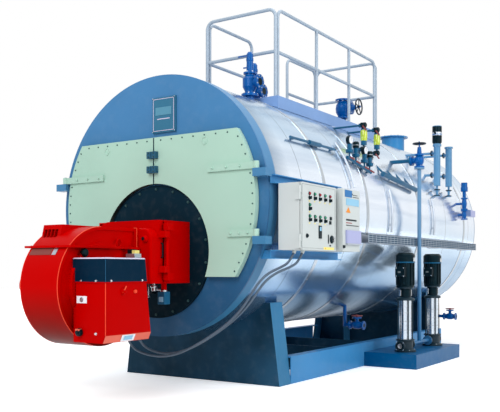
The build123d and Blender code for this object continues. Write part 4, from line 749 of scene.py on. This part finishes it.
def door_latches():
    """Acorn nuts on the straps, lifting rings, latch covers, rim bolts and the strip at the middle split."""
    foot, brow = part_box("furnace_plate")[1].z + 0.006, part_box("left_door")[1].z - 0.004
    seat, cover = DOOR_FACE_Y - 0.0005, -0.8550
    acorn = [(0, 0), (0.015, 0), (0.015, 0.003), (0.010, 0.003), (0.010, 0.011), (0.006, 0.016), (0, 0.017)]
    bm = bmesh.new()
    add_box(bm, (-0.0085, -0.8118, foot), (-0.0005, -0.8098, brow))
    piece("door_seal_strip", bm, [BAND], "left_smoke_door")
    for side, sign in (("left", -1), ("right", 1)):
        body = f"{side}_smoke_door"
        bm = bmesh.new()
        for z, reaches in ((2.037, (0.700, 0.850, 1.000)), (1.448, (0.900, 0.990, 1.080))):
            for reach in reaches:
                add_lathe(bm, (sign * reach, -0.832, z), FORE, acorn, 14)
        x = sign * 0.028
        for z in LATCH_HEIGHTS:
            add_rod(bm, (x, -0.843, z), (x, -0.852, z), 0.013, 18)
            add_box(bm, (x - 0.004, -0.8535, z - 0.022), (x + 0.004, -0.849, z + 0.022))
        piece(f"{side}_door_nuts", bm, [DOOR], body)
        x = sign * 0.60
        bm = bmesh.new()
        add_ring(bm, (x, seat, 2.300), BACK, 0.030, 0.006, 24, 8)
        add_box(bm, (x - 0.012, -0.818, 2.262), (x + 0.012, DOOR_FACE_Y, 2.282))
        piece(f"{side}_door_ring", bm, [DOOR], body)
        near, far = sorted((sign * 0.0035, sign * 0.0545))
        bm = bmesh.new()
        for z in LATCH_HEIGHTS:
            add_box(bm, (near, cover, z - 0.0325), (far, -0.8110, z + 0.0325))
            add_bolts(bm, [sign * 0.030], [cover], (z + 0.018, z - 0.018), FORE, 0.007, 1)
        piece(f"{side}_latch_plates", bm, [LATCH, STUD], body, bevel=0.0015)
        top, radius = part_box(f"{side}_door")[1].z, DOOR_R - 0.030
        bm = bmesh.new()
        add_bolts(bm, [sign * (0.085 + 0.128 * k) for k in range(7)], [seat], [top - 0.030], FORE, 0.0065)
        for k in range(15):
            turn = radians(30.5 - 4.6 * k)
            add_bolt(bm, (sign * radius * cos(turn), seat, AXIS_Z + radius * sin(turn)), FORE, 0.0065)
        piece(f"{side}_door_rim_bolts", bm, [STUD], body)


# Cabinets
def lamp(bm, x, y, z, colour):
    """An indicator lamp: a black collar with a coloured glass."""
    collar = [(0, 0), (0.0165, 0), (0.0165, 0.005), (0.013, 0.006), (0.013, 0.006), (0, 0.006)]
    glass = [(0.0125, 0), (0.0125, 0.006), (0.007, 0.011), (0, 0.012)]
    add_lathe(bm, (x, y, z), RIGHT, collar, 20)
    add_lathe(bm, (x + 0.006, y, z), RIGHT, glass, 20, colour)


def switch(bm, x, y, z):
    """A turning switch with its grip and the bare label under it."""
    knob = [(0, 0), (0.018, 0), (0.018, 0.005), (0.014, 0.007), (0.012, 0.018), (0, 0.018)]
    add_lathe(bm, (x, y, z), RIGHT, knob, 20)
    add_box(bm, (x + 0.012, y - 0.003, z - 0.013), (x + 0.026, y + 0.003, z + 0.013))
    add_box(bm, (x, y - 0.013, z - 0.034), (x + 0.0015, y + 0.013, z - 0.024), 3)


def cabinet_devices():
    """Lamps, switches, meter, lock, handle, bare labels and seams on the cabinet's door."""
    low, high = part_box("cabinet_door")
    x = high.x
    lock = [(0, 0), (0.020, 0), (0.020, 0.004), (0.012, 0.006), (0.012, 0.014), (0, 0.014)]
    grip = [(0, 0), (0.036, 0), (0.036, 0.010), (0.028, 0.016), (0, 0.016)]
    bm = bmesh.new()
    for number, y in enumerate((-0.551, -0.456, -0.361, -0.262, -0.165)):
        lamp(bm, x, y, 1.789, 1 if number % 2 else 2)
        switch(bm, x, y, 1.752)
    lamp(bm, x, -0.547, 1.690, 1)
    switch(bm, x, -0.547, 1.657)
    for y in (-0.547, -0.451, -0.356, -0.260):
        lamp(bm, x, y, 1.592, 1)
        switch(bm, x, y, 1.560)
    for y, z in ((-0.152, 1.590), (-0.162, 1.551)):
        add_box(bm, (x, y - 0.015, z - 0.015), (x + 0.010, y + 0.015, z + 0.015))
    add_box(bm, (x, -0.382, 1.402), (x + 0.008, -0.330, 1.516))
    add_box(bm, (x + 0.008, -0.372, 1.470), (x + 0.0095, -0.340, 1.505), 5)
    add_lathe(bm, (x, -0.594, 1.419), RIGHT, lock, 20)
    add_lathe(bm, (x, -0.131, 1.400), RIGHT, grip, 28)
    add_box(bm, (x + 0.012, -0.137, 1.372), (x + 0.030, -0.125, 1.428), 4)
    add_box(bm, (x, -0.202, 1.361), (x + 0.006, -0.192, 1.442))
    add_box(bm, (x, -0.170, 1.336), (x + 0.006, -0.152, 1.350))
    add_box(bm, (x, -0.286, 1.304), (x + 0.0015, -0.082, 1.328), 3)
    add_prism(bm, [(x, -0.262, 1.309), (x, -0.240, 1.309), (x, -0.251, 1.325)], (0.0025, 0, 0), 6)
    finishes = [DARK, LAMP_GREEN, LAMP_RED, YELLOW, CHROME, LABEL_CYAN, ORANGE]
    piece("cabinet_devices", bm, finishes, "cabinet_leaf", bevel=0.0008)
    t = 0.0008
    bm = bmesh.new()
    add_box(bm, (low.x + 0.003, low.y - t, low.z + 0.010), (x - 0.004, low.y, low.z + 0.013))
    for z in (low.z + 0.016, high.z - 0.018):
        add_box(bm, (x, low.y + 0.018, z), (x + t, high.y - 0.018, z + 0.002))
    for y in (low.y + 0.018, high.y - 0.020):
        add_box(bm, (x, y, low.z + 0.016), (x + t, y + 0.002, high.z - 0.016))
    piece("cabinet_seams", bm, [SEAM], "cabinet_leaf")


def aux_devices():
    """The bare labels, the warning triangle, the document pocket and the latch of the side cabinet."""
    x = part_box("aux_cabinet")[1].x
    bm = bmesh.new()
    for (y0, z0), (y1, z1), index, rise in (
        ((0.050, 1.806), (0.200, 1.872), 0, 0.003), ((0.076, 1.730), (0.352, 1.795), 1, 0.004),
        ((0.076, 1.538), (0.346, 1.545), 3, 0.003), ((0.076, 1.560), (0.200, 1.568), 4, 0.003),
        ((0.076, 1.585), (0.300, 1.600), 3, 0.003), ((0.066, 1.357), (0.366, 1.372), 5, 0.026),
        ((0.066, 1.372), (0.366, 1.494), 6, 0.020), ((0.010, 1.325), (0.034, 1.352), 3, 0.016),
        ((0.220, 1.810), (0.350, 1.816), 3, 0.002), ((0.220, 1.830), (0.320, 1.836), 3, 0.002),
    ):
        add_box(bm, (x, y0, z0), (x + rise, y1, z1), index)
    add_prism(bm, [(x, 0.074, 1.661), (x, 0.170, 1.661), (x, 0.122, 1.712)], (0.003, 0, 0), 2)
    add_lathe(bm, (x, 0.205, 1.839), RIGHT, disc(0.008, 0.004), 16, 3)
    finishes = [LABEL_BLUE, LABEL_CYAN, ORANGE, DARK, LAMP_RED, ZINC, POCKET]
    piece("aux_devices", bm, finishes, bevel=0.001)


# Valves and instruments
def gauge_glasses():
    """The coloured guard of each level gauge between black cocks with dull red levers."""
    x, low, high = 1.020, 2.513, 2.790
    middle = (low + high) / 2
    guard = [
        (0.0, 0.0), (0.022, 0.003), (0.036, 0.018), (0.041, 0.045),
        (0.041, 0.110), (0.036, 0.138), (0.022, 0.153), (0.0, 0.156),
    ]
    cock = [(0, 0), (0.030, 0), (0.032, 0.010), (0.032, 0.050), (0.022, 0.060), (0, 0.060)]
    spindle = [(0, 0), (0.014, 0), (0.014, 0.026), (0.020, 0.030), (0.020, 0.038), (0, 0.040)]
    lever = [(-0.008, -0.062, 0), (0.008, -0.062, 0), (0.064, -0.062, -0.074), (0.048, -0.062, -0.082)]
    for number, y in enumerate((1.700, 2.066), start=1):
        bm = bmesh.new()
        add_lathe(bm, (x, y, middle - 0.060), UP, guard, 28)
        for z in (middle - 0.066, middle + 0.100):
            add_ring(bm, (x, y, z), UP, 0.024, 0.005, 28, 8, 1)
        for z in (low, high):
            add_lathe(bm, (x - 0.030, y, z), RIGHT, cock, 24, 1)
            add_lathe(bm, (x, y - 0.030, z), FORE, spindle, 20, 1)
            add_prism(bm, around((x, y, z), lever), (0, 0.008, 0), 2)
        piece(f"gauge_glass_{number}", bm, [GUARD, DARK, WHEEL_RED], bevel=0.001)


def instrument_heads():
    """Dials, caps and levers on the pressure manifold."""
    front, rear = Vector((1.112, 1.070, 2.340)), Vector((1.172, 1.560, 2.215))
    case = [(0, 0), (0.046, 0), (0.050, 0.006), (0.050, 0.036), (0.044, 0.040), (0, 0.040)]
    cap = [(0, 0), (0.034, 0), (0.036, 0.012), (0.036, 0.058), (0.026, 0.070), (0, 0.070)]
    lever = [(0.010, -0.020, 0.006), (0.024, -0.020, 0.016), (0.040, 0.050, -0.004), (0.030, 0.054, -0.012)]
    for number, place in enumerate((0.1, 0.36, 0.72, 0.94), start=1):
        foot = front + (rear - front) * place
        x, y, top = foot.x, foot.y, foot.z + 0.160
        bm = bmesh.new()
        if number % 2:
            add_lathe(bm, (x - 0.022, y, top + 0.038), RIGHT, case, 32)
            add_lathe(bm, (x + 0.0182, y, top + 0.038), RIGHT, disc(0.041, 0.0015), 32, 1)
            add_box(bm, (x + 0.0197, y - 0.002, top + 0.030), (x + 0.021, y + 0.002, top + 0.070))
            add_rod(bm, (x, y, top - 0.004), (x, y, top), 0.010, 12)
        else:
            add_lathe(bm, (x, y, top), UP, cap, 28)
            add_ring(bm, (x, y, top + 0.030), UP, 0.0365, 0.003, 28, 8, 2)
        add_prism(bm, around(foot, lever), (0, 0, 0.006), 3)
        piece(f"instrument_head_{number}", bm, [DARK, WHITE, CHROME, WHEEL_RED])


def safety_fittings():
    """Flange bolts, outlet faces, caps and lever pins of the two safety valves."""
    for number, (x, y) in enumerate(SAFETY_PLACES, start=1):
        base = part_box(f"safety_valve_{number}")[1].z - 0.540
        bm = bmesh.new()
        for height, radius, count in ((0.084, 0.078, 8), (0.318, 0.060, 6)):
            bolt_ring(bm, (x, y, base + height), UP, radius, count, 0.009)
        bolt_ring(bm, (x + 0.134, y, base + 0.205), RIGHT, 0.064, 8, 0.008)
        add_lathe(bm, (x + 0.1345, y, base + 0.205), RIGHT, disc(0.040, 0.001), 28, 1)
        add_lathe(bm, (x, y, base + 0.440), UP, band(0.036, 0.040, 0.034, 0.004), 24, 2)
        add_lathe(bm, (x, y - 0.020, base + 0.507), BACK, disc(0.012, 0.040), 16)
        piece(f"safety_fittings_{number}", bm, [CHROME, DARK, BLUE])


def steam_fittings():
    """Flange bolts, the gland nut and its ring on the steam stop valve."""
    x, y, z, top = STEAM_X, STEAM_Y, 3.222, 3.340
    bm = bmesh.new()
    bolt_ring(bm, (x, y, top - 0.020), DOWN, 0.080, 8, 0.009)
    bolt_ring(bm, (x + 0.126, y, z), RIGHT, 0.072, 8, 0.007)
    add_lathe(bm, (x + 0.190, y, z), RIGHT, band(0.012, 0.017, 0.014), 6)
    add_ring(bm, (x + 0.207, y, z), RIGHT, 0.0105, 0.0012, 20, 6)
    piece("steam_fittings", bm, [CHROME])


def feed_fittings():
    """Flange bolts of the feed line and the nut on its valve."""
    x, y = PUMP_X, 2.565
    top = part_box("feed_valve")[1].z
    bm = bmesh.new()
    bolt_ring(bm, (x, y, 2.392), UP, 0.048, 4, 0.006)
    add_lathe(bm, (x, y, top), UP, disc(0.009, 0.004), 6)
    piece("feed_fittings", bm, [CHROME])


def drain_wheels():
    """Dull red handwheels over the drain valves' bonnets, with the bolts of their flanges."""
    reach = 0.062
    bonnet = [(0.010, 0), (0.014, 0.004), (0.014, 0.030), (0, 0.034)]
    for number, (x, y, z) in enumerate(((0.800, 1.980, 0.460), (1.000, 4.770, 0.430)), start=1):
        bm = bmesh.new()
        add_ring(bm, (x, y, z + 0.112), UP, reach, 0.007, 36, 8)
        for k in range(4):
            turn = pi * k / 2
            rim = (x + reach * cos(turn), y + reach * sin(turn), z + 0.112)
            add_rod(bm, (x, y, z + 0.110), rim, 0.005, 10)
        add_lathe(bm, (x, y, z + 0.094), UP, bonnet, 20)
        bolt_ring(bm, (x - 0.079, y, z), RIGHT, 0.042, 6, 0.005, 1)
        bolt_ring(bm, (x + 0.079, y, z), LEFT, 0.042, 6, 0.005, 1)
        add_lathe(bm, (x + 0.0952, y, z), RIGHT, disc(0.024, 0.001), 24, 2)
        piece(f"drain_wheel_{number}", bm, [WHEEL_RED, CHROME, DARK])


def chamber_fittings():
    """The black sensor head with its light band, the gland and the dark discs of the level chambers."""
    x, y = CHAMBER_X, CHAMBER_YS[0]
    head = CHAMBER_FLOOR + CHAMBER_TALL + 0.022
    hood = [(0.046, 0), (0.052, 0.012), (0.0635, 0.032), (0.0635, 0.236), (0.060, 0.2512), (0, 0.2512)]
    gland = [(0, 0), (0.013, 0), (0.013, 0.030), (0.009, 0.034), (0, 0.034)]
    bm = bmesh.new()
    add_lathe(bm, (x, y, head), UP, hood, 36)
    add_lathe(bm, (x, y, head + 0.120), UP, band(0.0635, 0.0645, 0.045, 0.001), 36, 1)
    add_lathe(bm, (x, y, head + 0.130), UP, band(0.0645, 0.0652, 0.009, 0.001), 36, 2)
    add_lathe(bm, (x, y - 0.060, head + 0.150), FORE, gland, 16)
    for number, y in enumerate(CHAMBER_YS):
        floor = CHAMBER_FLOOR + CHAMBER_STEP * number
        bolt_ring(bm, (x, y, floor + CHAMBER_TALL), DOWN, 0.0505, 6, 0.0045, 3)
        for z in (floor - 0.130, floor - 0.052):
            add_ring(bm, (x, y, z), UP, 0.037, 0.006, 28, 8)
        for z in (floor + 0.150, floor + 0.444):
            add_lathe(bm, (x - 0.081, y, z), RIGHT, band(0.038, 0.0395, 0.018, 0.002), 24)
    piece("chamber_fittings", bm, [DARK, ZINC, LABEL_BLUE, CHROME])


def control_stack_fittings():
    """The pale actuator box, the bolts and the blue collars of the rear control valve."""
    x, y, floor = 1.304, 4.490, 1.840
    bm = bmesh.new()
    add_box(bm, (x - 0.0305, y + 0.2050, floor + 0.0590), (x + 0.0312, y + 0.4212, floor + 0.1512))
    for z in (floor + 0.016, floor + 0.312):
        bolt_ring(bm, (x, y, z), UP, 0.038, 6, 0.0055, 1)
    for z in (floor + 0.124, floor + 0.156):
        add_ring(bm, (x, y, z), UP, 0.048, 0.003, 30, 6, 2)
    add_lathe(bm, (x, y, floor + 0.404), UP, band(0.046, 0.050, 0.066, 0.006), 28, 2)
    piece("stack_fittings", bm, [POCKET, CHROME, BLUE], bevel=0.0015)


def pump_fittings():
    """Fan rings, terminal boxes' lids, coupling windows, sleeve bands and port faces of both pumps."""
    x = PUMP_X
    window = ((-0.026, 0.010), (0.026, 0.010), (0.026, 0.080), (-0.026, 0.080))
    for number, y in enumerate(PUMP_YS, start=1):
        low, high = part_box(f"pump_{number}_motor")
        lid = low.y - 0.0012
        bm = bmesh.new()
        add_lathe(bm, (x, y, high.z), UP, disc(0.088, 0.0008), 36, 2)
        for radius in (0.024, 0.044, 0.064, 0.084):
            add_ring(bm, (x, y, high.z + 0.001), UP, radius, 0.0025, 36, 6)
        add_box(bm, (x - 0.057, lid, low.z + 0.117), (x + 0.057, low.y + 0.012, low.z + 0.238))
        add_bolts(bm, (x - 0.045, x + 0.045), [lid], (low.z + 0.130, low.z + 0.224), FORE, 0.006, 1)
        add_box(bm, (x - 0.024, low.y - 0.0024, low.z + 0.166), (x + 0.010, low.y - 0.001, low.z + 0.186), 2)
        add_lathe(bm, (x, y, low.z + 0.282), UP, band(0.112, 0.1135, 0.015, 0.001), 40, 4)
        add_box(bm, (x + 0.1125, y - 0.030, low.z + 0.300), (x + 0.1137, y + 0.030, low.z + 0.345), 1)
        piece(f"pump_trim_{number}", bm, [DARK, CHROME, SEAM, WHITE, TEAL], bevel=0.0008)
        bm = bmesh.new()
        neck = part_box(f"pump_{number}_body")[1].z - 0.112
        add_lathe(bm, (x, y, neck), UP, band(0.0642, 0.0670, 0.091, 0.003), 36)
        for turn in (pi / 4, pi * 5 / 4):
            c, s = cos(turn), sin(turn)
            corners = [(x + 0.0655 * c - w * s, y + 0.0655 * s + w * c, neck + h) for w, h in window]
            add_prism(bm, corners, (0.004 * c, 0.004 * s, 0), 1)
        for z in (0.420, 0.520, 0.620):
            add_ring(bm, (x, y, z), UP, 0.0705, 0.0022, 40, 6, 1)
        end = -1 if number == 1 else 1
        port = (x, y + end * 0.165, PORT_Z)
        add_lathe(bm, port, (0, end, 0), band(0.0275, 0.046, 0.003), 36)
        bolt_ring(bm, port, (0, end, 0), 0.058, 4, 0.006, 1)
        bolt_ring(bm, (x, y, 0.183), UP, 0.112, 4, 0.009, 1)
        piece(f"pump_bands_{number}", bm, [DARK, CHROME, WHITE])


def basket_wires():
    """The welded wires of the basket tray on its outer side and their short uprights."""
    low_y, high_y, floor, rim, outer = 1.150, 4.950, 1.410, 1.505, 1.328
    rows, uprights = 5, 39
    bm = bmesh.new()
    for k in range(rows):
        z = floor + 0.004 + (rim - floor - 0.006) * k / (rows - 1)
        add_rod(bm, (outer + 0.002, low_y, z), (outer + 0.002, high_y, z), 0.003, 8)
    for k in range(uprights):
        y = low_y + (high_y - low_y) * k / (uprights - 1)
        add_rod(bm, (outer + 0.004, y, floor), (outer + 0.004, y, rim), 0.0025, 6)
    piece("basket_wires", bm, [ZINC])
    bm = bmesh.new()
    add_box(bm, (outer - 0.001, low_y + 0.004, floor + 0.008), (outer + 0.0004, high_y - 0.004, rim - 0.004))
    piece("basket_shade", bm, [BASKET_SHADE])


def deck_treads():
    """Raised strips across the walkway's plate, left out round the valves."""
    low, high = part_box("deck_plate")
    rows, strips = 46, 6
    bm = bmesh.new()
    for k in range(rows):
        y = low.y + 0.06 + (high.y - low.y - 0.12) * k / (rows - 1)
        if any(abs(y - at[1]) < 0.16 for at in SAFETY_PLACES) or abs(y - STEAM_Y) < 0.22:
            continue
        shift = 0.028 if k % 2 else 0.0
        for x0, x1 in ((low.x + 0.08, -0.06), (0.06, high.x - 0.08)):
            for m in range(strips):
                x = x0 + shift + (x1 - x0 - 0.05) * m / (strips - 1)
                add_box(bm, (x, y - 0.003, high.z - 0.0005), (x + 0.024, y + 0.003, high.z + 0.0016))
    piece("deck_treads", bm, [DECK])


def flue_bolts():
    """Bolts in the flue's flange."""
    bm = bmesh.new()
    bolt_ring(bm, (0.0, 5.0, 3.215), UP, 0.205, 12, 0.011)
    piece("flue_bolts", bm, [CHROME])


def cladding_rivets():
    """Rows of small rivets along the bands of the cladding."""
    reach = SHELL_R + 0.0032
    rivet = [(0, 0), (0.007, 0), (0.005, 0.003), (0, 0.004)]
    bm = bmesh.new()
    for y in (0.360, 1.350, 2.950, 4.700):
        for angle in range(-55, 245, 10):
            c, s = cos(radians(angle)), sin(radians(angle))
            add_lathe(bm, (reach * c, y, AXIS_Z + reach * s), (c, 0, s), rivet, 8)
    piece("cladding_rivets", bm, [CHROME])


# Camera, light and floor
LENS, SENSOR = 55.37, 36.0  # millimetres
RISE = 0.127  # the picture's upward shift, in widths of the picture
CAMERA_AT, CAMERA_TURN = (4.771, -6.437, 1.126), 33.17  # metres and degrees


def place_camera():
    camera = bpy.data.cameras.new("camera")
    camera.lens = LENS
    camera.sensor_width = SENSOR
    camera.shift_y = RISE
    camera.clip_end = 200.0
    view = add_object("camera", camera)
    view.location = CAMERA_AT
    view.rotation_euler = (radians(90.0), 0.0, radians(CAMERA_TURN))
    bpy.context.scene.camera = view
    bpy.context.scene.view_settings.view_transform = "Standard"


def hang_lights():
    """Three soft panels; each row is a name, a place, a width, a power and the point it looks at."""
    for name, at, size, power, aim in (
        ("key", (1.5, -9.0, 7.5), 6.0, 620.0, (0.0, 0.0, 1.6)),
        ("side", (9.0, 0.5, 5.5), 6.0, 420.0, (0.5, 2.0, 1.6)),
        ("top", (0.0, 2.0, 10.0), 7.0, 260.0, (0.0, 2.0, 2.0)),
    ):
        light = bpy.data.lights.new(name, "AREA")
        light.energy = power
        light.size = size
        obj = add_object(name, light)
        obj.location = at
        obj.rotation_euler = (Vector(aim) - Vector(at)).to_track_quat("-Z", "Y").to_euler()


def light_world():
    """A white world, at full strength where it is seen and at half as light on the surfaces."""
    world = bpy.data.worlds.new("studio")
    bpy.context.scene.world = world
    world.use_nodes = True
    tree = world.node_tree
    background = tree.nodes["Background"]
    path = tree.nodes.new("ShaderNodeLightPath")
    seen = path.outputs["Is Camera Ray"]
    for ray in ("Is Glossy Ray", "Is Transmission Ray"):
        either = tree.nodes.new("ShaderNodeMath")
        either.operation = "MAXIMUM"
        tree.links.new(seen, either.inputs[0])
        tree.links.new(path.outputs[ray], either.inputs[1])
        seen = either.outputs[0]
    strength = tree.nodes.new("ShaderNodeMapRange")
    strength.inputs["To Min"].default_value = 0.50
    strength.inputs["To Max"].default_value = 1.0
    tree.links.new(seen, strength.inputs["Value"])
    tree.links.new(strength.outputs["Result"], background.inputs["Strength"])
    background.inputs["Color"].default_value = (1.0, 1.0, 1.0, 1.0)


def floor_finish():
    """A pale floor that glows for the camera, more so far away, until it meets the white world."""
    n = Nodes("studio_floor")
    tone = n.mix(n.noise(0.8), (0.98, 0.98, 0.98), (0.96, 0.965, 0.97))
    n.set(Base_Color=tone, Roughness=0.8, Specular_IOR_Level=0.1)
    rays = n.add("ShaderNodeLightPath").outputs
    far = n.add("ShaderNodeVectorMath", operation="LENGTH")
    n.join(n.place, far.inputs[0])
    glow = n.maths("ADD", 0.42, n.range(far.outputs["Value"], 0.0, 0.6, 7.0, 18.0))
    seen = n.maths("MULTIPLY", glow, n.maths("MAXIMUM", rays["Is Camera Ray"], rays["Is Glossy Ray"]))
    n.set(Emission_Color=rgb((1.0, 1.0, 1.0)), Emission_Strength=seen)
    return n.material


def lay_floor():
    floor = bmesh.new()
    bmesh.ops.create_grid(floor, x_segments=1, y_segments=1, size=30.0)
    mesh = bpy.data.meshes.new("floor")
    floor.to_mesh(mesh)
    floor.free()
    mesh.materials.append(floor_finish())
    plane = add_object("floor", mesh)
    plane.location = (0.0, 2.0, -0.002)


# Burner leads: the same route points as the CAD tubes
LEAD_DIAMETER = 0.022
LEADS = {
    "burner_lead_1": [
        (-0.100, -1.050, 0.977), (-0.100, -1.050, 0.880), (-0.122, -1.044, 0.750), (-0.152, -1.030, 0.610),
        (-0.160, -1.005, 0.470), (-0.105, -0.962, 0.368), (0.030, -0.922, 0.322), (0.190, -0.900, 0.316),
        (0.360, -0.884, 0.352), (0.540, -0.868, 0.436), (0.720, -0.856, 0.540), (0.890, -0.844, 0.654),
        (1.020, -0.828, 0.780), (1.105, -0.806, 0.910), (1.165, -0.775, 1.020), (1.235, -0.728, 1.098),
        (1.315, -0.668, 1.142), (1.378, -0.610, 1.190), (1.400, -0.580, 1.271),
    ],
    "burner_lead_2": [
        (-0.030, -1.010, 0.977), (-0.030, -1.010, 0.890), (-0.050, -1.004, 0.770), (-0.074, -0.988, 0.640),
        (-0.076, -0.962, 0.510), (-0.030, -0.926, 0.404), (0.090, -0.890, 0.350), (0.240, -0.868, 0.342),
        (0.410, -0.852, 0.380), (0.590, -0.836, 0.464), (0.765, -0.824, 0.566), (0.930, -0.812, 0.682),
        (1.062, -0.796, 0.806), (1.146, -0.774, 0.930), (1.210, -0.738, 1.030), (1.290, -0.680, 1.100),
        (1.372, -0.610, 1.142), (1.430, -0.545, 1.190), (1.448, -0.515, 1.271),
    ],
}


def burner_leads():
    """The two leads between the mounting box and the cabinet, in place of the CAD tubes."""
    for name, points in LEADS.items():
        lead = tube_curve(f"{name}_sheath", points, LEAD_DIAMETER / 2, SHEATH)
        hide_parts(name)


place_camera()
hang_lights()
light_world()
lay_floor()
finish_nodes()
burner_leads()
for build in (
    air_box_lid, air_box_fittings, air_switch, burner_plates, drum_edges, burner_handle, motor_fittings,
    servo_cover, name_plate, furnace_studs, door_latches, cabinet_devices, aux_devices, gauge_glasses,
    instrument_heads, safety_fittings, steam_fittings, feed_fittings, drain_wheels, chamber_fittings,
    control_stack_fittings, pump_fittings, basket_wires, deck_treads, flue_bolts, cladding_rivets,
):
    build()
